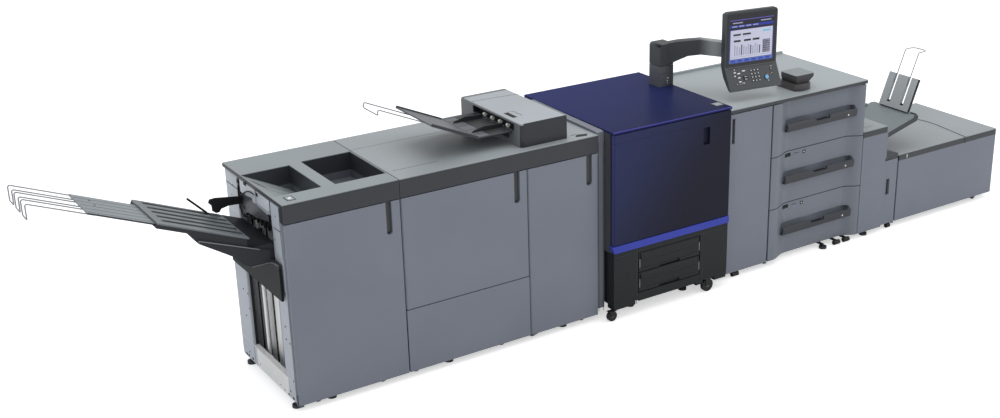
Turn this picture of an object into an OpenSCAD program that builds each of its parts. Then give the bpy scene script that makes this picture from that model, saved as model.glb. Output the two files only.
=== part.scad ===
// Digital production press line: finisher with stacking tray, folding unit with
// sheet inserter, print engine with panel arm, paper feeder, relay cabinet and
// large paper bin, docked side by side.
// +X runs along the line from the stacking tray to the bin, -Y is the operator's
// side and +Z is up. Every size is in millimetres.

/* [Common] */
// Height of the lower edge of doors and skirts above the floor
skirt_z = 34; // [30:1:40]
// Height of the underside of the unit frames above the floor
frame_z = 60; // [56:1:64]
// Thickness of hinged doors and covers
door_t = 22; // [18:1:26]
// Clearance round doors and drawers
gap = 5; // [5:0.5:7]
// Radius of the hinge pins
pin_r = 4; // [3:0.5:5]
// Radial clearance of the hinge pins
pin_play = 0.3; // [0.2:0.1:0.5]
// Thickness of the pale top plates
lid_t = 5; // [4:1:8]
// Reveal between neighbouring top plates
lid_seam = 4; // [3:1:6]

/* [Finisher] */
// Width of the finisher
fin_w = 588; // [560:1:620]
// Depth of the finisher and the folding unit
unit_d = 723; // [700:1:760]
// How much lower the finisher and the folding unit are than the engine
unit_drop = 18; // [10:1:24]
// Height of the dark band under the top of both units
band_h = 94; // [80:1:110]
// Depth of the stacker mouth in the left end
mouth_d = 90; // [80:1:100]
// Width of the front frame post
post_front_w = 106; // [96:1:108]
// Width of the rear frame post
post_rear_w = 156; // [140:1:170]
// Thickness of the frame posts
post_t = 26; // [20:1:30]
// Height of the bottom rail above the floor
rail_z = 140; // [120:1:160]

/* [Output wells] */
// Length of the open output well
well_a_l = 244; // [220:1:250]
// Length of the closed output well
well_b_l = 262; // [240:1:262]
// Width of the wall between the two wells
well_wall = 67; // [60:1:80]
// Depth of the wells under the top
well_depth = 132; // [110:1:145]
// Distance of the wells from the operator's side
well_y = 125; // [110:1:140]
// Width of the wells from front to back
well_w = 372; // [350:1:390]

/* [Stacking tray] */
// Tilt of the stacking tray
tray_tilt = 22.5; // [18:0.5:26]
// Depth of the tray's surface below the top, at the left end of the finisher
tray_drop = 224; // [214:1:240]
// Length of the ribbed tray plate, up to its outer end
tray_l = 554; // [520:1:580]
// Room between the tray and the sides of the mouth, front and rear together
tray_room = 36; // [30:1:60]
// Thickness of the tray plate
tray_t = 8; // [6:1:9]
// Total thickness of the tray and its pan
pan_t = 25; // [24:1:30]
// Number of grooves along the tray plate
groove_n = 5; // [4:1:6]
// Width of each groove
groove_w = 30; // [24:1:34]
// Reach of the extension plate beyond the tray plate
ext_reach = 300; // [260:1:330]
// Length of the extension plate that stays in the pan
ext_hold = 70; // [60:1:90]
// How much narrower the extension plate is than the tray
ext_inset = 76; // [60:1:100]
// Thickness of the extension plate
ext_t = 8; // [7:0.5:9]
// Reach of the wire stops beyond the extension plate
wire_reach = 254; // [220:1:280]
// Drop of the bent wire ends
wire_drop = 72; // [60:1:90]
// Radius of the wires
wire_r = 3; // [2.5:0.25:3.5]

/* [Folding unit] */
// Width of the folding unit
fold_w = 1148; // [1120:1:1180]
// Width of its left bay
fold_left_w = 712; // [690:1:730]
// Height of the split between the upper door and the lower cover
fold_split_z = 373; // [350:1:400]
// Width of the docking frame beside the engine
dock_w = 46; // [40:1:52]

/* [Inserter] */
// Distance of the inserter from the left side of the folding unit
ins_x = 707; // [690:1:720]
// Length of the inserter body along the line
ins_l = 280; // [260:1:300]
// Distance of the inserter from the operator's side
ins_y = 50; // [40:1:60]
// Depth of the inserter body
ins_d = 590; // [560:1:610]
// Height of the inserter body
ins_h = 126; // [118:1:134]
// Length of the flat feed plate
ins_feed_l = 200; // [180:1:220]
// Length of the sloping sheet tray
ins_tray_l = 276; // [250:1:300]
// Width of the sheet tray
ins_tray_w = 382; // [360:1:400]
// Tilt of the sheet tray
ins_tilt = 24; // [18:1:28]
// Reach of the wire stop beyond the sheet tray
ins_wire_l = 240; // [220:1:260]

/* [Engine] */
// Width of the print engine
eng_w = 800; // [780:1:820]
// Depth of the print engine
eng_d = 856; // [840:1:880]
// Height of the print engine
eng_h = 1074; // [1060:1:1090]
// How far the engine's front stands before its neighbours
eng_proud = 68; // [60:1:76]
// Thickness of the engine's front door
eng_door_t = 26; // [22:1:28]
// Thickness of the engine's top cover
eng_lid_t = 12; // [10:1:16]
// Height of the coloured trim band's lower edge above the upper paper tray
trim_over = 37; // [30:1:46]
// Height of the trim band
trim_h = 41; // [36:1:46]
// Width of the paper trays in the engine
cas_w = 420; // [400:1:440]
// Distance of the paper trays from the engine's left side
cas_x = 178; // [170:1:190]
// Height of a paper tray's front
cas_h = 112; // [106:1:113]
// Height of the lower tray front above the floor
cas_z = 128; // [124:1:130]
// Step from one tray to the next
cas_pitch = 118; // [118:0.5:120]

/* [Panel] */
// Size of the arm's column along X
col_w = 95; // [85:1:100]
// Size of the arm's column along Y
col_d = 102; // [90:1:110]
// Distance of the column's axis from the engine's right side
col_x = 49; // [48:1:60]
// Distance of the column's axis from the operator's side
col_y = 507; // [480:1:530]
// Height of the split ring between column and arm above the engine's top
ring_rise = 123; // [115:1:130]
// Length of the straight part of the arm, from the column's axis
arm_reach = 395; // [385:1:400]
// Direction of the arm, clockwise from +X
arm_turn = 41; // [39:0.5:43]
// Distance of the panel's tilt hinge from the column's axis
hinge_reach = 473; // [468:1:480]
// Direction of the panel's tilt hinge, clockwise from +X
hinge_turn = 38.5; // [37:0.5:40]
// Direction that the panel faces, clockwise from the front
panel_turn = 8; // [0:1:14]
// Width of the control panel
panel_w = 345; // [320:1:370]
// Height of the screen part of the panel
screen_part_h = 314; // [300:1:330]
// Length of the key part of the panel
key_part_l = 142; // [130:1:150]
// Angle of the key part from the vertical
key_tilt = 29; // [24:1:34]
// Thickness of the control panel
panel_t = 38; // [32:1:40]
// Height of the fold between screen part and key part above the engine's top
panel_rise = 139; // [139:1:150]

/* [Feeder] */
// Width of the paper feeder
feed_w = 1112; // [1080:1:1150]
// Depth of the paper feeder
feed_d = 760; // [740:1:780]
// How much lower the paper feeder is than the engine
feed_drop = 51; // [40:1:60]
// Width of the bay behind the narrow door
feed_bay_w = 371; // [350:1:390]
// Thickness of the dark rim under the feeder's top plate
feed_rim_h = 23; // [20:1:26]
// Depth of the dish in the drawer fronts
dish = 45; // [36:1:48]
// Thickness of the drawer fronts in the dish
front_t = 20; // [18:1:24]
// Width of the handle bars
bar_w = 556; // [520:1:570]
// Height of the handle pockets
pocket_h = 72; // [66:1:80]

/* [Relay cabinet and bin] */
// Width of the relay cabinet
relay_w = 204; // [190:1:220]
// How much shallower the relay cabinet is than the feeder
relay_inset = 60; // [40:1:80]
// Height of the relay cabinet
relay_h = 697; // [680:1:710]
// Width of the bay behind the bin's narrow door
bin_bay_w = 134; // [126:1:140]
// Width of the bin's main part
bin_w = 908; // [880:1:940]
// How much shallower the paper bin is than the feeder
bin_inset = 54; // [40:1:70]
// Height of the paper bin
bin_h = 481; // [470:1:490]
// Height of the dark rims of the cabinet and the bin
rim_h = 40; // [34:1:44]
// Width of the right lid of the bin
lid_right_w = 290; // [270:1:310]

/* [Bypass tray] */
// Reach of the bypass tray from the relay cabinet
by_reach = 326; // [300:1:340]
// Width of the bypass tray from front to back
by_w = 390; // [370:1:410]
// Height of its surface at the cabinet
by_z = 614; // [604:1:624]
// Slope of the bypass tray
by_tilt = 14; // [12:1:16]
// Width of the sheet support
sup_w = 245; // [230:1:260]
// Length of the sheet support
sup_l = 217; // [200:1:230]
// Steepness of the sheet support
sup_tilt = 68; // [64:1:72]
// Length of the wire loop above the support
loop_l = 160; // [140:1:175]

/* [Hidden] */
$fn = 48;
eps = 0.01;           // overshoot of cutting tools
seat = 0.3;           // running clearance of slides on their runners
pin_l = 16;           // length of a hinge pin inside its door
bracket_t = 5;        // thickness of the lower hinge brackets
edge_r = 4;           // radius of the free vertical edges of doors
wire_bend = 8;        // radius of the bends in the wires
press = 0.15;         // clearance of bars seated in their pockets

// heights and depths that follow from others
unit_h = eng_h - unit_drop;
feed_h = eng_h - feed_drop;
relay_d = feed_d - relay_inset;
bin_d = feed_d - bin_inset;
tray_z = unit_h - tray_drop;
trim_z = cas_z + cas_pitch + cas_h + trim_over;
ring_z = eng_h + ring_rise;
panel_z = eng_h + panel_rise;

// left ends of the units along the line
fold_x = fin_w;
dock_x = fold_x + fold_w;
eng_x = dock_x + dock_w;
feed_x = eng_x + eng_w;
relay_x = feed_x + feed_w;
bin_x = relay_x + relay_w;
bin_main_x = bin_x + 2 + bin_bay_w;
line_end = bin_main_x + bin_w;

// planes of the operator's side and of the backs
eng_y = -eng_proud;
feed_y = 5;
relay_y = 5;
bin_y = 17;
body_y = door_t + gap;            // front of the housings behind their doors
band_z = unit_h - band_h;
door_top = band_z - gap;
eng_door_y = eng_y + eng_door_t + gap;
eng_lid_z = eng_h - eng_lid_t;
eng_back = eng_y + eng_d;
feed_rim_z = feed_h - feed_rim_h;
feed_door_x = feed_x + feed_bay_w;

// tips of the stacker's wires give the left end of the part
wire_tip = tray_l + ext_reach + wire_reach;
ext_top = -tray_t - 1;            // surface of the extension plate in the tray's frame
wire_z = ext_top - ext_t - wire_r;
line_start = -wire_tip * cos(tray_tilt) + wire_z * sin(tray_tilt) - wire_r;
mid_x = (line_start + line_end) / 2;
mid_y = (eng_y + eng_back) / 2;

// ---- helpers ----
module placed() translate([-mid_x, -mid_y, 0]) children();

module block(low, high) translate(low) cube(high - low);

// profile in X and Z, extruded from y0 to y1
module slab_xz(y0, y1) translate([0, y1, 0]) rotate([90, 0, 0]) linear_extrude(y1 - y0) children();

// profile in Y and Z, extruded from x0 to x1
module slab_yz(x0, x1) translate([x0, 0, 0]) rotate([90, 0, 90]) linear_extrude(x1 - x0) children();

module rod(a, b, r) {
    run = b - a;
    translate(a) rotate([0, acos(run.z / norm(run)), atan2(run.y, run.x)]) cylinder(h = norm(run), r = r);
}

// a wire is drawn along +Z, each piece carrying the next one at its end
module straight(l) {
    cylinder(h = l, r = wire_r);
    translate([0, 0, l]) children();
}

// bend towards +X with radius r
module bend(a, r) {
    translate([r, 0, 0]) rotate([90, 0, 180]) rotate_extrude(angle = a) translate([r, 0]) circle(wire_r);
    translate([r * (1 - cos(a)), 0, r * sin(a)]) rotate([0, a, 0]) children();
}

// hoop of wire: two legs along +Z, bent towards +X by a and joined after a further reach
module wire_hoop(leg, w, a, reach, corner = wire_bend) {
    t = wire_bend * tan(a / 2);
    for (side = [0, 1]) mirror([0, side, 0]) translate([0, w / 2, 0])
        straight(leg - t) bend(a, wire_bend) straight(reach - t - corner) rotate([0, 0, -90])
            bend(90, corner) cylinder(h = w / 2 - corner, r = wire_r);
}

module rounded_rect(size, r) {
    for (x = [r, size.x - r], y = [r, size.y - r]) translate([x, y]) circle(r);
    translate([r, 0]) square([size.x - 2 * r, size.y]);
    translate([0, r]) square([size.x, size.y - 2 * r]);
}

// plan of a hinged door: half round at the hinge, small radius at the free end
module door_plan(w, t) {
    translate([t / 2, t / 2]) circle(t / 2);
    translate([t / 2, 0]) square([w - t / 2 - edge_r, t]);
    translate([w - edge_r, edge_r]) circle(edge_r);
    translate([w - edge_r - eps, edge_r]) square([edge_r + eps, t - edge_r]);
}

// door from x0 to x1 with its front at y, hinged at its left or right end
module hinged_door(x0, x1, y, z0, z1, t, right = false) {
    pivot = right ? x1 - t / 2 : x0 + t / 2;
    difference() {
        translate([right ? x1 : x0, y, z0]) mirror([right ? 1 : 0, 0, 0])
            linear_extrude(z1 - z0) door_plan(x1 - x0, t);
        for (z = [z0 - eps, z1 - pin_l - 1])
            translate([pivot, y + t / 2, z]) cylinder(h = pin_l + 1 + eps, r = pin_r + pin_play);
    }
}

module pin(x, y, z0, z1) translate([x, y, z0]) cylinder(h = z1 - z0, r = pin_r);

// bracket below a door, with the pin that carries it
module lower_hinge(x, y, t, z, back) {
    block([x - t / 2, y + 2, z - gap - bracket_t], [x + t / 2, back + 12, z - gap]);
    block([x - t / 2, back, z - gap], [x + t / 2, back + 12, frame_z]);
    pin(x, y + t / 2, z - gap, z + pin_l - 1);
}

// ---- finisher ----
well_a_x = 7;
well_b_x = well_a_x + well_a_l + well_wall;
fin_pivot = 1 + door_t / 2;
mouth_y0 = body_y + post_front_w + 5;
mouth_y1 = unit_d - 33 - post_rear_w;
mouth_top = unit_h - lid_t - 14;
bay_z = skirt_z + 14;             // floor of the bay behind the bottom rail
bay_y1 = unit_d - 45;
tray_y0 = mouth_y0 + 9;
tray_w = mouth_y1 - mouth_y0 - tray_room;
ext_w = tray_w - ext_inset;
wire_w = 68;                      // width of a wire hoop
tray_y1 = tray_y0 + tray_w;

// height of the sloping floor of the open well
function ramp_z(x) = unit_h - lid_t - 1 - (well_depth - lid_t - 5) * (x - well_a_x) / well_a_l;

module wells(z_low, z_high) {
    block([well_a_x, well_y, z_low], [well_a_x + well_a_l, well_y + well_w, z_high]);
    block([well_b_x, well_y - 5, z_low], [well_b_x + well_b_l, well_y + well_w + 15, z_high]);
}

module finisher_housing() placed() color("#6a6f78") {
    difference() {
        block([mouth_d, body_y, frame_z], [fin_w, unit_d, band_z]);
        block([mouth_d - 1, well_y, unit_h - well_depth], [well_a_x + well_a_l, well_y + well_w, band_z + 1]);
        block([well_b_x, well_y - 5, unit_h - well_depth], [well_b_x + well_b_l, well_y + well_w + 15, band_z + 1]);
    }
    lower_hinge(fin_pivot, 0, door_t, skirt_z, body_y);
    block([fin_pivot - door_t / 2, body_y, frame_z], [mouth_d, body_y + 12, frame_z + 12]);
}

module finisher_frame() placed() color("#a0a3b4") {
    block([0, body_y + 12, skirt_z], [post_t, mouth_y0, mouth_top]);
    block([post_t - 1, body_y + 12, frame_z + 12], [mouth_d, body_y + 24, mouth_top]);
    block([0, mouth_y1, skirt_z], [post_t, unit_d - 33, mouth_top]);
    block([post_t - 1, bay_y1 - 1, bay_z - 1], [mouth_d, unit_d - 33, mouth_top]);
    block([0, mouth_y0 - 10, skirt_z], [post_t, mouth_y1 + 10, rail_z]);
    block([post_t - 1, mouth_y0, skirt_z], [mouth_d, bay_y1, bay_z]);
    // bright bracket plates in the top corners of the mouth
    plate_top = mouth_top - 18;
    slab_yz(4, 10) polygon([[mouth_y0 - 10, plate_top], [mouth_y0 - 10, plate_top - 60],
        [mouth_y0 + 38, plate_top - 60], [mouth_y0 + 60, plate_top - 70], [mouth_y0 + 190, plate_top - 58],
        [mouth_y0 + 242, plate_top - 34], [mouth_y0 + 242, plate_top]]);
    slab_yz(4, 10) polygon([[mouth_y1 + 10, plate_top - 6], [mouth_y1 + 10, plate_top - 50],
        [mouth_y1 - 84, plate_top - 50], [mouth_y1 - 84, plate_top - 6]]);
}

// lift guides of the stacking tray and the bright slats between them
guide_y = [tray_y0 + 18, tray_y1 - 43];
slat_w = 60;
slat_y = [for (i = [0:4]) tray_y0 + 60 + i * 91];
guide_r = 9;
guide_x = 52;
module finisher_guide_rails() placed() color("#c9ccd2") {
    for (y = guide_y) translate([guide_x, y, bay_z]) cylinder(h = mouth_top - 40 - bay_z, r = guide_r);
    for (y = slat_y) block([mouth_d - 8, y - slat_w / 2, bay_z], [mouth_d, y + slat_w / 2, band_z - 130]);
    block([mouth_d - 8, bay_y1 - 47, bay_z], [mouth_d, bay_y1 - 1, band_z - 130]);
}

guard_t = 4;
module exit_rollers() placed() color("#26282b") {
    difference() {
        block([mouth_d - 18, mouth_y0 + 4, tray_z + 36], [mouth_d, mouth_y1 - 4, mouth_top - 55]);
        block([mouth_d - 19, mouth_y0 + 40, tray_z + 52], [mouth_d - 6, mouth_y1 - 40, tray_z + 80]);
    }
    for (i = [0:3]) translate([mouth_d - 12, tray_y0 + 53 + i * 90, tray_z + 66]) rotate([90, 0, 0])
        cylinder(h = 30, r = 12, center = true);
}

module exit_guard() placed() color("#7b7d8a")
    slab_yz(post_t - guard_t, post_t) translate([0, mouth_top]) polygon([[mouth_y0 + 60, -31], [mouth_y0 + 60, -119],
        [mouth_y0 + 120, -132], [mouth_y1 - 60, -137], [mouth_y1, -112], [mouth_y1, -31]]);

module finisher_top_cover() placed() color("#a9afb4") difference() {
    block([2, 2, unit_h - lid_t], [fin_w - lid_seam / 2, unit_d, unit_h]);
    wells(unit_h - lid_t - 1, unit_h + 1);
}

module finisher_front_door() placed() color("#6f757f") difference() {
    hinged_door(1, fin_w - gap / 2, 0, skirt_z, door_top, door_t);
    handle_slot(508, 32);
}

// upright finger slot in a door, open at the top
module handle_slot(x, w) translate([x, -1, 790]) {
    block([0, 0, w / 2], [w, 15, 200]);
    translate([w / 2, 0, w / 2]) rotate([-90, 0, 0]) cylinder(h = 15, r = w / 2);
}

module fascia_bands() placed() color("#3b3d42") {
    difference() {
        block([0, 0, band_z], [fin_w - 1, unit_d, unit_h - lid_t]);
        wells(band_z - 1, unit_h);
        block([-1, body_y + 12, band_z - 1], [mouth_d, unit_d + 1, mouth_top]);
    }
    // sloping floor plate of the open well, with cheeks where the mouth opens below it
    difference() {
        slab_xz(well_y, well_y + well_w) polygon([[well_a_x - 4, mouth_top + 2], [well_a_x + 6, mouth_top - 14],
            [mouth_d, ramp_z(mouth_d) - 20], [mouth_d, unit_h - well_depth],
            [well_a_x + well_a_l, unit_h - well_depth], [well_a_x + well_a_l, ramp_z(well_a_x + well_a_l)],
            [well_a_x, ramp_z(well_a_x)], [well_a_x - 4, ramp_z(well_a_x)]]);
        block([-1, well_y - 1, unit_h - well_depth], [post_t, mouth_y0, mouth_top]);
    }
    for (y = [well_y - 6, well_y + well_w - 1]) slab_xz(y, y + 7) polygon([[post_t, mouth_top + 2],
        [post_t, ramp_z(post_t) - 20], [mouth_d, ramp_z(mouth_d) - 20], [mouth_d, mouth_top + 2]]);
    pin(fin_pivot, door_t / 2, door_top - pin_l + 1, band_z);
    block([fold_x + 1, 0, band_z], [dock_x, unit_d, unit_h - lid_t]);
    pin(fold_pivot, door_t / 2, door_top - pin_l + 1, band_z);
    pin(fold_right_pivot, door_t / 2, door_top - pin_l + 1, band_z);
}

// ---- stacking tray ----
module tilted() translate([0, 0, tray_z]) rotate([0, tray_tilt, 0]) children();
plate_end = -116;                 // inner end of the pale ribbed plate
rim = 8;                          // rim of the pan outside the pocket
ext_y0 = (tray_y0 + tray_y1 - ext_w) / 2 - 16;
pocket_l = ext_hold + ext_reach;

module stacker_tray() placed() color("#9aa1a5") tilted() difference() {
    block([-tray_l, tray_y0, -tray_t], [plate_end, tray_y1, 0]);
    pitch = (tray_w - 30) / groove_n;
    for (i = [0:groove_n - 1]) {
        y = tray_y0 + 50 + i * pitch;
        block([-tray_l + 40, y, -tray_t - 1], [plate_end - 8, y + groove_w, 1]);
    }
}

module stacker_carrier() placed() color("#26282b") {
    stop_x = 181;
    difference() {
        union() {
            tilted() block([-tray_l, tray_y0, -pan_t], [6, tray_y1, -tray_t]);
            tilted() block([plate_end, tray_y0, -tray_t], [6, tray_y1, 0]);
            translate([0, 0, tray_z]) {
                slab_xz(tray_y0, tray_y1) polygon([[-391, 138], [-347, 76], [-200, -21], [-157, -70], [-112, -98],
                    [16, -98], [16, -42], [-12, -18]]);
                slab_xz(tray_y0 - 9, tray_y1 + 9) polygon([[-350, 94], [-347, 76], [-200, -21], [-157, -70],
                    [-112, -98], [-20, -98], [-20, -34], [-111, 1]]);
                block([-20, body_y + 25, -265], [-8, unit_d - 67, -82]);
                for (y = guide_y) block([10, y - 16, -92], [guide_x + 16, y + 16, -48]);
            }
        }
        tilted() block([-tray_l - 1, ext_y0 - 0.4, ext_top - ext_t - 0.4],
            [-tray_l + pocket_l - 20, ext_y0 + ext_w + 0.4, -tray_t + eps]);
        for (y = guide_y) translate([guide_x, y, tray_z - 132]) cylinder(h = 140, r = guide_r + seat);
    }
    // black stop rod behind the sheets
    translate([0, tray_y1 - 27, tray_z]) {
        rod([-stop_x, 0, stop_x * tan(tray_tilt) + 3.5], [-stop_x - 87, 0, 170], 3);
        rotate([0, tray_tilt, 0]) translate([-stop_x / cos(tray_tilt), 0, -tray_t - 1]) cylinder(h = tray_t + 6, r = 8);
    }
}

module stacker_extension() placed() color("#a3a9ad") tilted()
    block([-tray_l - ext_reach, ext_y0, ext_top - ext_t], [-tray_l + ext_hold, ext_y0 + ext_w, ext_top]);

module stacker_wires() placed() color("#b9bdc0") tilted() {
    x0 = -tray_l - ext_reach + 40;
    for (i = [-1:1]) translate([x0, ext_y0 + ext_w / 2 + 20 + i * (ext_w - 72) / 2, wire_z]) rotate([0, -90, 0]) rotate(180)
        wire_hoop(wire_tip + x0, wire_w, 90 + tray_tilt, wire_drop);
}

module sensor_paddle() placed() color("#1e2022") translate([0, 0, tray_z]) slab_xz(tray_y1 + 15, tray_y1 + 23)
    polygon([[post_t - guard_t, 108], [5, 108], [-120, 126], [-148, 124], [-155, 108], [-140, 90], [-139, 64],
        [-122, 50], [-105, 52], [-96, 66], [-60, 74], [post_t - guard_t, 70]]);

// ---- folding unit ----
fold_left_end = fold_x + fold_left_w;
fold_pivot = fold_x + gap / 2 + door_t / 2;
fold_right_pivot = fold_left_end + gap / 2 + door_t / 2;

module folder_housing() placed() color("#6a6f78") {
    block([fold_x, body_y, frame_z], [dock_x, unit_d, band_z]);
    lower_hinge(fold_right_pivot, 0, door_t, skirt_z, body_y);
}

module folder_top_cover() placed() color("#a9afb4") difference() {
    block([fold_x + lid_seam / 2, 2, unit_h - lid_t], [dock_x, unit_d, unit_h]);
    block([fold_x - 1, 524, unit_h - 2], [fold_x + 560, 527, unit_h + 1]);
    block([fold_x + 32, 126, unit_h - 2], [fold_x + 286, 129, unit_h + 1]);
    block([dock_x - 112, 44, unit_h - 4], [dock_x - 38, 52, unit_h + 1]);
}

module folder_upper_door() placed() color("#6f757f") difference() {
    hinged_door(fold_x + gap / 2, fold_left_end - gap / 2, 0, fold_split_z + gap / 2, door_top, door_t);
    handle_slot(fold_x + 631, 35);
}

module folder_lower_cover() placed() color("#6f757f") {
    block([fold_x + gap / 2, 0, skirt_z], [fold_left_end - gap / 2, body_y, fold_split_z - gap / 2]);
    pin(fold_pivot, door_t / 2, fold_split_z - gap / 2, fold_split_z + gap / 2 + pin_l - 1);
}

module folder_right_door() placed() color("#6f757f") difference() {
    hinged_door(fold_left_end + gap / 2, dock_x - gap, 0, skirt_z, door_top, door_t);
    handle_slot(dock_x - 78, 38);
}

module docking_frame() placed() color("#5c6068") {
    block([dock_x, 14, frame_z], [eng_x, unit_d - 20, unit_h - 8]);
    slab_yz(dock_x, eng_x) translate([0, unit_h]) polygon([[14, -40], [14, 8], [30, 12], [unit_d - 40, 16],
        [unit_d - 20, 10], [unit_d - 20, -40]]);
}

// ---- inserter on the folding unit ----
ins_x0 = fold_x + ins_x;
ins_feed_z = unit_h + ins_h - 50;
ins_tray_y0 = ins_y + 70;
ins_corner = 26;

module inserter_body() placed() color("#55585e") difference() {
    slab_xz(ins_y, ins_y + ins_d) translate([ins_x0, unit_h])
        difference() {
            union() {
                square([ins_l, ins_h - 12]);
                translate([12, 0]) square([ins_l - 24, ins_h]);
                for (x = [12, ins_l - 12]) translate([x, ins_h - 12]) circle(12);
            }
        }
    // feed slot in the left side
    block([ins_x0 - 1, ins_tray_y0 - 12, ins_feed_z], [ins_x0 + 40, ins_tray_y0 + ins_tray_w + 14, ins_feed_z + 38]);
    // rounded corner towards the operator
    difference() {
        block([ins_x0 - 1, ins_y - 1, unit_h - 1], [ins_x0 + ins_corner, ins_y + ins_corner, unit_h + ins_h + 1]);
        translate([ins_x0 + ins_corner, ins_y + ins_corner, unit_h - 2]) cylinder(h = ins_h + 4, r = ins_corner);
    }
}

module inserter_rollers() placed() color("#e8e8e6")
    for (i = [0:3]) translate([ins_x0 + 12, ins_tray_y0 + 66 + i * 76, ins_feed_z + 10]) rotate([90, 0, 0])
        cylinder(h = 14, r = 10, center = true);

module inserter_tray() placed() color("#5d6167") {
    block([ins_x0 - ins_feed_l, ins_tray_y0, ins_feed_z - 6], [ins_x0, ins_tray_y0 + ins_tray_w, ins_feed_z]);
    translate([ins_x0 - ins_feed_l, 0, ins_feed_z]) rotate([0, ins_tilt, 0]) {
        block([-ins_tray_l, ins_tray_y0, -8], [8, ins_tray_y0 + ins_tray_w, 0]);
        for (y = [ins_tray_y0, ins_tray_y0 + ins_tray_w - 12])
            block([-ins_tray_l, y, 0], [0, y + 12, 7]);
    }
    slab_xz(ins_tray_y0 + 40, ins_tray_y0 + ins_tray_w - 40)
        polygon([[ins_x0 - 60, ins_feed_z - 5], [ins_x0, ins_feed_z - 5], [ins_x0, ins_feed_z - 50]]);
}

// ---- print engine ----
eng_pivot = eng_x + 4 + eng_door_t / 2;
module engine_housing() placed() color("#202225")
    block([eng_x, eng_door_y, trim_z], [feed_x, eng_back, eng_lid_z]);

module engine_top_cover() placed() color("#343c6c") {
    block([eng_x, eng_y, eng_lid_z], [feed_x, eng_back, eng_h]);
    pin(eng_pivot, eng_y + eng_door_t / 2, eng_lid_z - gap - pin_l + 1, eng_lid_z);
}

module engine_front_door() placed() color("#2d3044") difference() {
    hinged_door(eng_x + 4, feed_x - 4, eng_y, trim_z + trim_h + gap, eng_lid_z - gap, eng_door_t);
    block([feed_x - 198, eng_y - 1, 892], [feed_x - 153, eng_y + 16, 989]);
}

module engine_trim_band() placed() color("#414ba0") {
    slab_xz(eng_y, eng_door_y) polygon([[eng_x - 5, trim_z + trim_h], [feed_x, trim_z + trim_h], [feed_x, trim_z],
        [eng_x + 11, trim_z]]);
    pin(eng_pivot, eng_y + eng_door_t / 2, trim_z + trim_h, trim_z + trim_h + gap + pin_l - 1);
}

base_y = eng_y + 8;
base_z = 82;
cas_t = 18;
cas_box_d = 520;
cas_wall = 4;
cas_x0 = eng_x + cas_x;
cas_x1 = cas_x0 + cas_w;
runner_w = 16;
module engine_base() placed() color("#2c3030") {
    difference() {
        union() {
            block([eng_x + 11, base_y, base_z], [feed_x, eng_back, trim_z]);
            block([eng_x + 11, base_y, frame_z], [eng_x + 156, base_y + 60, base_z]);
            block([cas_x0, base_y, base_z - 8], [cas_x1 - 20, base_y + 40, base_z]);
            block([feed_x - 90, base_y, frame_z], [feed_x - 4, base_y + 60, base_z]);
            block([cas_x1 - 19, base_y, frame_z], [feed_x - 171, base_y + 60, base_z]);
        }
        block([cas_x0 - gap, base_y - 1, cas_z - gap],
            [cas_x1 + gap, base_y + cas_t + gap, cas_z + cas_pitch + cas_h + gap]);
        for (i = [0:1]) cavity(cas_x0 + 20, cas_x1 - 20, base_y, base_y + cas_t + cas_box_d,
            cas_z + 8 + i * cas_pitch, cas_h - 30);
    }
    for (i = [0:1]) runners(cas_x0 + 20, cas_x1 - 20, base_y + cas_t + gap, base_y + cas_t + cas_box_d,
        cas_z + 8 + i * cas_pitch);
}

// space round an open box of a drawer; z is the box's underside, h its height
module cavity(x0, x1, y0, y1, z, h)
    block([x0 - gap - 1, y0, z - gap], [x1 + gap + 1, y1 + 12, z + h + gap + 3]);

module runners(x0, x1, y0, y1, z)
    for (x = [x0 + 12, x1 - 12 - runner_w]) block([x, y0, z - gap], [x + runner_w, y1 + 12, z - seat]);

// open box of a drawer
module open_box(x0, x1, y0, y1, z, h, wall) difference() {
    block([x0, y0, z], [x1, y1, z + h]);
    block([x0 + wall, y0 + wall, z + wall], [x1 - wall, y1 - wall, z + h + 1]);
}

module paper_tray(i) placed() color("#2c3030") {
    z = cas_z + i * cas_pitch;
    difference() {
        slab_yz(cas_x0, cas_x1) polygon([[base_y, z], [base_y, z + cas_h * 0.45], [base_y + 3, z + cas_h],
            [base_y + cas_t, z + cas_h], [base_y + cas_t, z]]);
        // finger grip under the front edge
        block([(cas_x0 + cas_x1) / 2 - 70, base_y - 1, z - 1], [(cas_x0 + cas_x1) / 2 + 70, base_y + 10, z + 16]);
    }
    open_box(cas_x0 + 20, cas_x1 - 20, base_y + cas_t - eps, base_y + cas_t + cas_box_d, z + 8, cas_h - 30, cas_wall);
}
module paper_tray_upper() paper_tray(1);
module paper_tray_lower() paper_tray(0);

// ---- panel and arm ----
axis_x = feed_x - col_x;
head_h = 124;
module panel_column() placed() color("#34373b") {
    block([axis_x - col_w / 2, col_y - col_d / 2, eng_h], [axis_x + col_w / 2, col_y + col_d / 2, ring_z - 3]);
    translate([axis_x, col_y, ring_z - 3]) cylinder(h = 3 + 30, r = 24);
}

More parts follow.
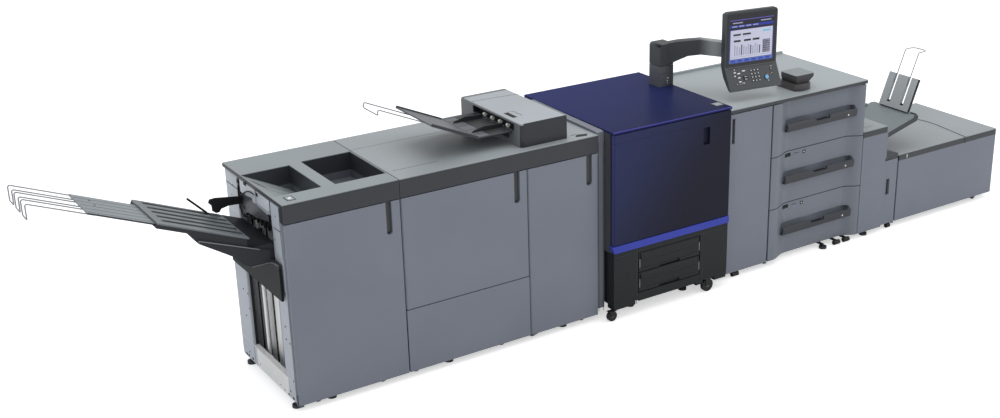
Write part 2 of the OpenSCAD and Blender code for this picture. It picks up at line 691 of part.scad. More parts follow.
// the arm is drawn along +X from its swivel axis and then turned
module along_arm() translate([axis_x, col_y, 0]) rotate(-arm_turn) children();
arm_t = 62;
tongue_t = 36;
tip_z = panel_z + 75;
module panel_arm() placed() color("#3f4246") {
    difference() {
        translate([axis_x, col_y, 0]) intersection() {
            block([-col_w / 2, -col_d / 2, ring_z], [col_w / 2, col_d / 2, ring_z + head_h]);
            slab_xz(-col_d, col_d) translate([-col_w / 2, ring_z]) union() {
                square([col_w, head_h - 18]);
                translate([18, 0]) square([col_w, head_h]);
                translate([18, head_h - 18]) circle(18);
            }
        }
        translate([axis_x, col_y, ring_z - 1]) cylinder(h = 31.5, r = 24 + seat);
    }
    along_arm() slab_xz(-arm_t / 2, arm_t / 2) translate([0, ring_z]) polygon([[30, 8], [56, 10], [152, 55],
        [225, 65], [357, 53], [arm_reach, tip_z - 20 - ring_z], [arm_reach, tip_z + 20 - ring_z], [357, 137],
        [218, 151], [90, 137], [30, head_h]]);
    // cross block and tongue that carry the tilt pin
    at_hinge() {
        block([-95, 22, -20], [22, 54, 20]);
        block([-22, 0, -tongue_t / 2], [22, 30, tongue_t / 2]);
        rotate([0, 90, 0]) {
            cylinder(h = 44, r = tongue_t / 2, center = true);
            cylinder(h = 76, r = hinge_pin_r, center = true);
        }
    }
}

// the panel's frame: origin at the middle of its fold, +X along its width, -Y towards the user
hinge_back = panel_t + 24;
hinge_pin_r = 6;
tip_x = axis_x + hinge_reach * cos(hinge_turn);
tip_y = col_y - hinge_reach * sin(hinge_turn);
panel_x = tip_x - hinge_back * sin(panel_turn);
panel_y = tip_y - hinge_back * cos(panel_turn);
module at_panel() translate([panel_x, panel_y, panel_z]) rotate(-panel_turn) children();
module at_hinge() translate([tip_x, tip_y, tip_z]) rotate(-panel_turn) children();
key_y = -key_part_l * sin(key_tilt);
key_z = -key_part_l * cos(key_tilt);
module control_panel() placed() color("#55585a") at_panel() difference() {
    union() {
        intersection() {
            slab_yz(-panel_w / 2, panel_w / 2) polygon([[0, 0], [key_y, key_z], [key_y + 14, key_z - 6],
                [panel_t - 26, -56], [panel_t, 0], [panel_t, screen_part_h - 14], [panel_t - 12, screen_part_h],
                [0, screen_part_h]]);
            translate([-panel_w / 2, panel_t + 1, key_z - 10]) rotate([90, 0, 0]) linear_extrude(panel_t + 90)
                rounded_rect([panel_w, screen_part_h - key_z + 10], 22);
        }
        for (s = [-1, 1]) translate([s * 34, 0, 0]) slab_yz(-4, 4) difference() {
            union() {
                translate([panel_t, tip_z - panel_z - 14]) square([hinge_back - panel_t, 28]);
                translate([hinge_back, tip_z - panel_z]) circle(14);
            }
            translate([hinge_back, tip_z - panel_z]) circle(hinge_pin_r + pin_play);
        }
    }
    block([-148, -1, 34], [148, 3, 290]);
}

module panel_screen() placed() color("#c9cbe6") at_panel() block([-148, 0.6, 34], [148, 3, 290]);

module on_keys() translate([0, key_y / 2, key_z / 2]) rotate([90 - key_tilt, 0, 0]) children();
module panel_keys() placed() color("#1c1d20") at_panel() on_keys() {
    for (i = [0:2], j = [0:3]) translate([-8 + i * 22, 36 - j * 20, 0]) cylinder(h = 3, r = 7);
    translate([86, -14, 0]) cylinder(h = 4, r = 14);
    for (j = [0:2]) translate([-118 + j * 24, -34, 0]) cylinder(h = 2, r = 6);
    for (j = [0:1]) translate([124, 6 + j * 24, 0]) cylinder(h = 3, r = 7);
}

// ---- feeder ----
feed_drawer_y = feed_y + dish + front_t + gap;
drawer_x0 = feed_door_x + gap / 2;
drawer_x1 = relay_x - gap;
drawer_pitch = (feed_rim_z - skirt_z) / 3;
drawer_z0 = [for (i = [0:2]) skirt_z + i * drawer_pitch + (i > 0 ? gap / 2 : 0)];
drawer_z1 = [for (i = [1:3]) skirt_z + i * drawer_pitch - (i < 3 ? gap / 2 : gap)];
box_x0 = drawer_x0 + 30;
box_x1 = drawer_x1 - 26;
box_lift = 41;
box_h = drawer_pitch - 122;
box_d = feed_d - 190;
box_wall = 4;
feed_pivot = feed_door_x - gap / 2 - door_t / 2;

module feeder_housing() placed() color("#6a6f78") {
    difference() {
        union() {
            block([feed_x, feed_y + door_t + gap, frame_z], [feed_door_x, feed_y + feed_d, feed_rim_z]);
            block([feed_door_x, feed_drawer_y, frame_z], [relay_x, feed_y + feed_d, feed_rim_z]);
        }
        for (z = drawer_z0) cavity(box_x0, box_x1, feed_drawer_y - 1, feed_drawer_y + box_d, z + box_lift, box_h);
    }
    for (z = drawer_z0) runners(box_x0, box_x1, feed_drawer_y, feed_drawer_y + box_d, z + box_lift);
    lower_hinge(feed_pivot, feed_y, door_t, skirt_z, feed_y + door_t + gap);
}

// smooth step of the drawer fronts, from a to b in n pieces
function s_curve(a, b, n = 10) =
    [for (i = [0:n]) [a.x + (b.x - a.x) * i / n, a.y + (b.y - a.y) * (1 - cos(180 * i / n)) / 2]];

flat_x0 = drawer_x0 + 172;
flat_x1 = drawer_x1 - 112;
bar_mid = (flat_x0 + flat_x1) / 2;
bar_drop = 120;        // from a drawer's top edge to its handle pocket
module drawer_front_plan() polygon(concat([[drawer_x0, feed_drawer_y - gap], [drawer_x0, feed_y]],
    s_curve([drawer_x0 + 34, feed_y], [flat_x0, feed_y + dish]),
    s_curve([flat_x1, feed_y + dish], [drawer_x1 - 4, feed_y]),
    [[drawer_x1, feed_y], [drawer_x1, feed_drawer_y - gap]]));

module drawer(i) placed() color("#6f757f") {
    z0 = drawer_z0[i];
    z1 = drawer_z1[i];
    difference() {
        translate([0, 0, z0]) linear_extrude(z1 - z0) drawer_front_plan();
        slab_xz(feed_y - 1, feed_y + dish + 12) translate([bar_mid - bar_w / 2, z1 - bar_drop - pocket_h])
            rounded_rect([bar_w, pocket_h], 12);
        if (i < 2) block([flat_x0 - 38, feed_y, z1 - 34], [flat_x0 + 16, feed_y + dish + 8, z1 - 10]);
    }
    open_box(box_x0, box_x1, feed_drawer_y - gap - eps, feed_drawer_y + box_d - gap, z0 + box_lift, box_h, box_wall);
}
module drawer_upper() drawer(2);
module drawer_middle() drawer(1);
module drawer_lower() drawer(0);

// moulded bar across the dish, with a finger scoop in the middle of its upper edge
module drawer_handle(i) placed() color("#2e3036") {
    low = drawer_z1[i] - bar_drop - pocket_h;
    intersection() {
        slab_yz(bar_mid - bar_w / 2, bar_mid + bar_w / 2) translate([feed_y, low])
            polygon([[dish * 0.2, 6], [dish * 0.8, 0], [dish * 0.8, 8], [dish * 0.42, 22], [dish * 0.36, 52],
                [dish * 0.2, 54], [dish * 0.08, 40]]);
        slab_xz(feed_y - 1, feed_y + dish + 20) translate([bar_mid - bar_w / 2, low]) difference() {
            translate([press, press]) rounded_rect([bar_w - 2 * press, pocket_h - 2 * press], 12);
            translate([bar_w / 2, 0]) polygon([[-68, pocket_h], [-50, 36], [50, 36], [68, pocket_h]]);
        }
    }
}
module drawer_handle_upper() drawer_handle(2);
module drawer_handle_middle() drawer_handle(1);
module drawer_handle_lower() drawer_handle(0);

module feeder_side_door() placed() color("#6f757f") difference() {
    hinged_door(feed_x + gap + 1, feed_door_x - gap / 2, feed_y, skirt_z, feed_rim_z - gap, door_t, right = true);
    translate([feed_x + 66, feed_y - 1, feed_h - 199]) cube([22, 15, 146]);
}

module feeder_top_cover() placed() color("#b0b6ba") {
    block([feed_x + 1, feed_y, feed_h - lid_t], [relay_x + 6, feed_y + feed_d, feed_h]);
    block([feed_x + 20, feed_y + feed_d - 20, feed_h], [relay_x - 6, feed_y + feed_d - 4, feed_h + 16]);
}

module top_rims() placed() color("#3a3d40") {
    block([feed_x, feed_y, feed_rim_z], [relay_x + 6, feed_y + feed_d, feed_h - lid_t]);
    pin(feed_pivot, feed_y + door_t / 2, feed_rim_z - gap - pin_l + 1, feed_rim_z);
    block([relay_x, relay_y, relay_h - rim_h], [bin_x, relay_y + relay_d, relay_h - lid_t]);
    block([bin_main_x, bin_y, bin_h - rim_h], [line_end, bin_y + bin_d, bin_h - lid_t]);
    // step between the cabinet and the bin's lid
    slab_xz(bin_y, bin_y + 110) translate([bin_x, bin_h]) polygon([[1, -14], [1, 3], [11, 3], [11, 44], [40, 44],
        [bin_bay_w - 10, 14], [bin_bay_w - 10, -14]]);
    block([bin_x + 1, bin_y + door_t + gap, bin_h - rim_h], [bin_main_x - 12, bin_y + 110, bin_h - 13]);
    pin(bin_pivot, bin_y + door_t / 2, bin_h - 14 - gap - pin_l + 1, bin_h - 13);
}

stand_h = 40;
module stand_base() placed() color("#3f4144") translate([feed_x + 651, feed_y + 135, feed_h])
    linear_extrude(stand_h) intersection() {
        square([124, 172], center = true);
        translate([0, 20]) circle(106);
    }

// head of the stand, wider at its top
head_size = [144, 138, 52];
module stand_head() placed() color("#34363a") translate([feed_x + 666, feed_y + 132, feed_h + stand_h])
    intersection() {
        x = head_size.x / 2;
        y = head_size.y / 2;
        slab_xz(-y, y) polygon([[14 - x, 0], [x - 40, 0], [x, head_size.z - 12], [x, head_size.z], [-x, head_size.z],
            [-x, head_size.z - 12]]);
        slab_yz(-x, x) polygon([[8 - y, 0], [y - 6, 0], [y, head_size.z - 12], [y, head_size.z], [-y, head_size.z],
            [-y, head_size.z - 12]]);
        linear_extrude(head_size.z) translate([-x, -y]) rounded_rect([head_size.x, head_size.y], 14);
    }

// ---- relay cabinet and paper bin ----
by_y0 = 52;
bin_pivot = bin_main_x - gap - door_t / 2;
module relay_housing() placed() color("#6f757f") {
    block([relay_x, relay_y, skirt_z], [bin_x, relay_y + relay_d, relay_h - rim_h]);
    block([bin_x, relay_y + 2, bin_h + 3], [bin_x + 11, by_y0 - 4, relay_h - rim_h]);
}

module relay_top_cover() placed() color("#b0b6ba") difference() {
    block([relay_x, relay_y, relay_h - lid_t], [bin_x, relay_y + relay_d, relay_h]);
    block([relay_x + 60, relay_y + 58, relay_h - 3], [relay_x + 136, relay_y + 63, relay_h + 1]);
}

module bin_housing() placed() color("#6f757f") {
    block([bin_main_x, bin_y, skirt_z + 4], [line_end, bin_y + door_t, bin_h - rim_h]);
    block([bin_main_x, bin_y + door_t, frame_z], [line_end, bin_y + bin_d, bin_h - rim_h]);
    block([bin_x, bin_y + door_t + gap, frame_z], [bin_main_x, bin_y + bin_d, bin_h - rim_h]);
    lower_hinge(bin_pivot, bin_y, door_t, skirt_z + 4, bin_y + door_t + gap);
}

module bin_lids() placed() color("#b0b6ba") {
    split = line_end - lid_right_w;
    block([bin_main_x - 10, bin_y, bin_h - lid_t], [split - lid_seam / 2, bin_y + bin_d, bin_h]);
    block([split + lid_seam / 2, bin_y, bin_h - lid_t], [line_end, bin_y + bin_d, bin_h]);
}

module bin_side_door() placed() color("#6f757f") difference() {
    hinged_door(bin_x + gap + 1, bin_main_x - gap, bin_y, skirt_z + 4, bin_h - 14 - gap, door_t, right = true);
    translate([bin_x + 33, bin_y - 1, 235]) cube([30, 15, 104]);
}

module by_frame() translate([bin_x, by_y0, by_z]) rotate([0, -by_tilt, 0]) children();
module bypass_tray() placed() color("#8b9194") intersection() {
    union() {
        by_frame() translate([-20, 0, -10]) linear_extrude(10) rounded_rect([by_reach + 20, by_w], 24);
        by_frame() block([-20, 0, -30], [by_reach - 16, 12, 0]);
        by_frame() block([by_reach - 140, by_w - 14, -1], [by_reach - 60, by_w, 12]);
        slab_xz(by_y0 + 90, by_y0 + 104) polygon([[bin_x, by_z - 90], [bin_x, by_z], [bin_x + 130, by_z + 10],
            [bin_x + 130, by_z - 4]]);
    }
    block([bin_x, 0, 0], [line_end, unit_d, unit_h]);
}

sup_y0 = by_y0 + 72;
sup_x = bin_x + by_reach * cos(by_tilt) - 4;
sup_z = by_z + (sup_x - bin_x) * tan(by_tilt) + 0.2;
sup_t = 20;
module sup_frame() translate([sup_x, sup_y0, sup_z]) rotate([0, -sup_tilt, 0]) children();
// slots through the support; a wire stands against the rear side of each
sup_slot_y = [53, 165];
sup_slot_w = 26;
module bypass_support() placed() color("#9aa0a3") sup_frame() difference() {
    cube([sup_l, sup_w, sup_t]);
    for (y = sup_slot_y) block([30, y, -1], [sup_l + 1, y + sup_slot_w, sup_t + 1]);
}

module wire_loops() placed() color("#b9bdc0") {
    loop_w = sup_slot_y[1] - sup_slot_y[0];
    sup_frame() translate([sup_l - 60, sup_slot_y[0] + sup_slot_w - wire_r - seat + loop_w / 2, sup_t / 2])
        rotate([0, 90, 0]) wire_hoop(60 + loop_l, loop_w, sup_tilt, 76, 30);
    translate([ins_x0 - ins_feed_l, ins_tray_y0 + 205, ins_feed_z]) rotate([0, ins_tilt, 0])
        translate([60 - ins_tray_l, 0, -8 - wire_r]) rotate([0, -90, 0]) rotate(180)
            wire_hoop(ins_wire_l + 60, 155, 90 + ins_tilt, 28);
}

// ---- casters and feet ----
module caster(x, y, r, top) translate([x, y, 0]) {
    translate([0, 0, r]) rotate([90, 0, 0]) cylinder(h = 20, r = r, center = true);
    for (s = [-1, 1]) translate([0, s * 12, 0]) slab_xz(-2, 2) translate([-r * 0.45, r]) square([r * 0.9, top - r]);
    block([-r * 0.8, -14, top - 4], [r * 0.8, 14, top]);
}

// low wheel close behind the front, on a bracket that reaches back under the housing
low_r = 14;
module low_wheel(x, y, back, w) {
    translate([x, y, low_r]) rotate([0, 90, 0]) cylinder(h = w, r = low_r, center = true);
    low_bracket(x, y, back);
}
module low_bracket(x, y, back) {
    block([x - 8, y, low_r + 4], [x + 8, back + 10, 2 * low_r]);
    block([x - 8, back, low_r + 4], [x + 8, back + 10, frame_z]);
}

module casters() placed() color("#1b1c1d") {
    for (x = [mouth_d + 26, fin_w - 125, fold_x + 60, fold_left_end - 150, fold_left_end + 60, dock_x - 80],
        y = [60, unit_d - 70])
        caster(x, y, 23, frame_z);
    caster(eng_x + 4, base_y + 12, 29, frame_z);
    caster(feed_x - 130, eng_y + 24, 38, base_z);
    for (x = [eng_x + 80, feed_x - 130]) caster(x, eng_back - 80, 38, base_z);
    for (x = [feed_x + 133, relay_x - 162, relay_x - 82]) low_wheel(x, feed_y + 15, feed_drawer_y + 2, 46);
    low_bracket(relay_x - 271, feed_y + 20, feed_drawer_y + 2);
    low_wheel(bin_x + 92, bin_y + 18, bin_y + door_t + gap + 1, 30);
    caster(bin_x + 92, bin_y + bin_d - 80, 23, frame_z);
    for (x = [feed_x + 133, relay_x - 166, relay_x - 59]) caster(x, feed_y + feed_d - 80, 23, frame_z);
    for (y = [bin_y + 50, bin_y + bin_d - 80]) caster(line_end - 120, y, 23, frame_z);
}

module foot(x, y, top) translate([x, y, 0]) {
    cylinder(h = 14, r = 24);
    cylinder(h = top, r = 8);
}

module levelling_feet() placed() color("#1b1c1d") {
    for (x = [190, fold_x + 250, dock_x - 200], y = [60, unit_d - 70]) foot(x, y, frame_z);
    for (y = [body_y + 40, unit_d - 100]) foot(post_t / 2, y, skirt_z);
    for (x = [eng_x + 200, feed_x - 230], y = [eng_y + 120, eng_back - 80]) foot(x, y, base_z);
    foot(feed_x + 240, feed_drawer_y + 26, frame_z);
    foot(relay_x - 271, feed_y + 20, low_r + 4);
    for (x = [feed_x + 240, relay_x - 271]) foot(x, feed_y + feed_d - 80, frame_z);
    for (y = [relay_y + 34, relay_y + relay_d - 80]) foot(relay_x + 85, y, skirt_z);
}

finisher_housing();
finisher_frame();
finisher_guide_rails();
finisher_top_cover();
finisher_front_door();
exit_rollers();
exit_guard();
sensor_paddle();
stacker_tray();
stacker_carrier();
stacker_extension();
stacker_wires();
fascia_bands();
folder_housing();
folder_top_cover();
folder_upper_door();
folder_lower_cover();
folder_right_door();
docking_frame();
inserter_body();
inserter_rollers();
inserter_tray();
engine_housing();
engine_top_cover();
engine_front_door();
engine_trim_band();
engine_base();
paper_tray_upper();
paper_tray_lower();
panel_column();
panel_arm();
control_panel();
panel_screen();
panel_keys();
feeder_housing();
feeder_top_cover();
feeder_side_door();
drawer_upper();
drawer_middle();
drawer_lower();
drawer_handle_upper();
drawer_handle_middle();
drawer_handle_lower();
stand_base();
stand_head();
top_rims();
relay_housing();
relay_top_cover();
bin_housing();
bin_lids();
bin_side_door();
bypass_tray();
bypass_support();
wire_loops();
casters();
levelling_feet();
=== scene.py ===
# Digital production printer line: finishes, fittings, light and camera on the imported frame.
import math

import bmesh
import bpy
from mathutils import Matrix, Vector


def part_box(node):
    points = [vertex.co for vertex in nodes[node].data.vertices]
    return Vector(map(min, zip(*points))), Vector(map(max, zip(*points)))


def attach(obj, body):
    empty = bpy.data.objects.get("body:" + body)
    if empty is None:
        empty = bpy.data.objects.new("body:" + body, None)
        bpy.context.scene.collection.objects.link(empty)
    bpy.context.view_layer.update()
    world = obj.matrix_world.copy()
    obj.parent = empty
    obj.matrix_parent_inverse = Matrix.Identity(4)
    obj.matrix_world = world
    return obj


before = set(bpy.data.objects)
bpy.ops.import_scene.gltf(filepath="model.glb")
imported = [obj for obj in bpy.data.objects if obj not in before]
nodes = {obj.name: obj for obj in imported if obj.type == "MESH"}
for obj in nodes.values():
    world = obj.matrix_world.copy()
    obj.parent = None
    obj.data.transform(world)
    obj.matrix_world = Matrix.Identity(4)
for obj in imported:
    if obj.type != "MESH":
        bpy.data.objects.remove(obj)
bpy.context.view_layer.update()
print("frame loaded with", len(nodes), "nodes")

# lengths are millimetres from the finisher's front left corner on the floor,
# and toFrame brings them to the frame's metres
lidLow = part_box("finisher_top_cover")[0]
lidInset = 0.002  # metres from that corner to the lid's edge
toFrame = Matrix.Translation((lidLow[0] - lidInset, lidLow[1] - lidInset, 0)) @ Matrix.Scale(0.001, 4)


def tilted(spot, turn, axis):
    return Matrix.Translation(spot) @ Matrix.Rotation(math.radians(turn), 4, axis)


# frames of the pieces that stand at a slant, in the same millimetres
trayFrame = tilted((0, 0, 832), 22.5, "Y")
panelFrame = tilted((2894.55, 151.15, 1213), -8, "Z")
keyFrame = panelFrame @ tilted((0, -34.42, -62.1), 61, "X")
supportFrame = tilted((4210.32, 124, 692.07), -68, "Y")

# what all finishes share: faint clouds in colour and gloss, brushed hairs on metal, a fine grain
surface = {
    "cloudScale": 2.2, "cloudDetail": 7.0, "cloudSpan": (0.34, 0.68),
    "hairScale": 60.0, "hairDetail": 4.0, "hairSpan": (0.35, 0.7), "hairShare": 0.35, "hairShade": 0.6,
    "grainDetail": 3.0, "grainDepth": 0.0004, "glossSpread": 0.07, "glossLeast": 0.02}


def tint(colour):
    # a screen colour of 0 to 255 as light
    return tuple(((c / 255 + 0.055) / 1.055) ** 2.4 if c > 10 else c / 255 / 12.92 for c in colour) + (1.0,)


def scaled(light, factor):
    return tuple(min(1.0, c * factor) for c in light[:3]) + (1.0,)


def addNoise(tree, coords, scale, detail):
    noise = tree.nodes.new("ShaderNodeTexNoise")
    noise.inputs["Scale"].default_value = scale
    noise.inputs["Detail"].default_value = detail
    tree.links.new(coords, noise.inputs["Vector"])
    return noise.outputs["Fac"]


def spread(tree, value, fromSpan=(0.0, 1.0), toSpan=(0.0, 1.0), kind="LINEAR"):
    span = tree.nodes.new("ShaderNodeMapRange")
    span.interpolation_type = kind
    span.inputs["From Min"].default_value = fromSpan[0]
    span.inputs["From Max"].default_value = fromSpan[1]
    span.inputs["To Min"].default_value = toSpan[0]
    span.inputs["To Max"].default_value = toSpan[1]
    tree.links.new(value, span.inputs["Value"])
    return span.outputs["Result"]


def blendIn(tree, share, below, above):
    mix = tree.nodes.new("ShaderNodeMix")
    mix.data_type = "RGBA"
    first, second, result = mix.inputs[6], mix.inputs[7], mix.outputs[2]  # the node's colour sockets
    tree.links.new(share, mix.inputs["Factor"])
    tree.links.new(below, first)
    second.default_value = above
    return result


def fadeShare(tree, coords, fade):
    # grows along a slanted direction from the first point to the second
    along = Vector(fade["along"])
    reach = tree.nodes.new("ShaderNodeVectorMath")
    reach.operation = "DOT_PRODUCT"
    reach.inputs[1].default_value = along
    tree.links.new(coords, reach.inputs[0])
    span = [along.dot(toFrame @ Vector(spot)) for spot in (fade["from"], fade["to"])]
    return spread(tree, reach.outputs["Value"], span, kind="SMOOTHSTEP")


def zoneShare(tree, coords, area):
    parts = tree.nodes.new("ShaderNodeSeparateXYZ")
    tree.links.new(coords, parts.inputs["Vector"])
    cut = tree.nodes.new("ShaderNodeMath")
    cut.operation = area["side"]
    cut.inputs[1].default_value = area["limit"]
    cut.inputs[2].default_value = area["reach"]
    tree.links.new(parts.outputs[area["axis"]], cut.inputs[0])
    return cut.outputs["Value"]


def finish(name, colour, rough, metal=0.0, coat=0.0, spec=0.5, grain=900, bump=0.06, mottle=0.05, streak=None,
           fade=None, zones=()):
    mat = bpy.data.materials.new(name)
    mat.use_nodes = True
    tree = mat.node_tree
    shader = tree.nodes["Principled BSDF"]
    coords = tree.nodes.new("ShaderNodeTexCoord").outputs["Object"]
    base = tint(colour)
    cloud = addNoise(tree, coords, surface["cloudScale"], surface["cloudDetail"])
    ramp = tree.nodes.new("ShaderNodeValToRGB")
    for end, place, factor in zip(ramp.color_ramp.elements, surface["cloudSpan"], (1 - mottle, 1 + mottle)):
        end.position = place
        end.color = scaled(base, factor)
    tree.links.new(cloud, ramp.inputs["Fac"])
    shade = ramp.outputs["Color"]
    if fade:
        shade = blendIn(tree, fadeShare(tree, coords, fade), shade, tint(fade["colour"]))
    for area in zones:
        shade = blendIn(tree, zoneShare(tree, coords, area), shade, tint(area["colour"]))
    if streak:
        stretch = tree.nodes.new("ShaderNodeMapping")
        stretch.inputs["Scale"].default_value = streak
        tree.links.new(coords, stretch.inputs["Vector"])
        hair = addNoise(tree, stretch.outputs["Vector"], surface["hairScale"], surface["hairDetail"])
        share = spread(tree, hair, surface["hairSpan"], (0.0, surface["hairShare"]))
        shade = blendIn(tree, share, shade, scaled(base, surface["hairShade"]))
    tree.links.new(shade, shader.inputs["Base Color"])
    lift = tree.nodes.new("ShaderNodeBump")
    lift.inputs["Strength"].default_value = bump
    lift.inputs["Distance"].default_value = surface["grainDepth"]
    tree.links.new(addNoise(tree, coords, grain, surface["grainDetail"]), lift.inputs["Height"])
    tree.links.new(lift.outputs["Normal"], shader.inputs["Normal"])
    glossLow = max(surface["glossLeast"], rough - surface["glossSpread"])
    glossSpan = (glossLow, min(1.0, rough + surface["glossSpread"]))
    tree.links.new(spread(tree, cloud, toSpan=glossSpan), shader.inputs["Roughness"])
    shader.inputs["Metallic"].default_value = metal
    shader.inputs["Coat Weight"].default_value = coat
    shader.inputs["Specular IOR Level"].default_value = spec
    return mat


def zone(axis, side, place, colour, reach=0.0):
    # another colour below, above or close to a plane, such as the dark front of a pale cover
    spot = Vector((0, 0, 0))
    spot["XYZ".index(axis)] = place
    limit = (toFrame @ spot)["XYZ".index(axis)]
    return {"axis": axis, "side": side, "limit": limit, "colour": colour, "reach": reach}


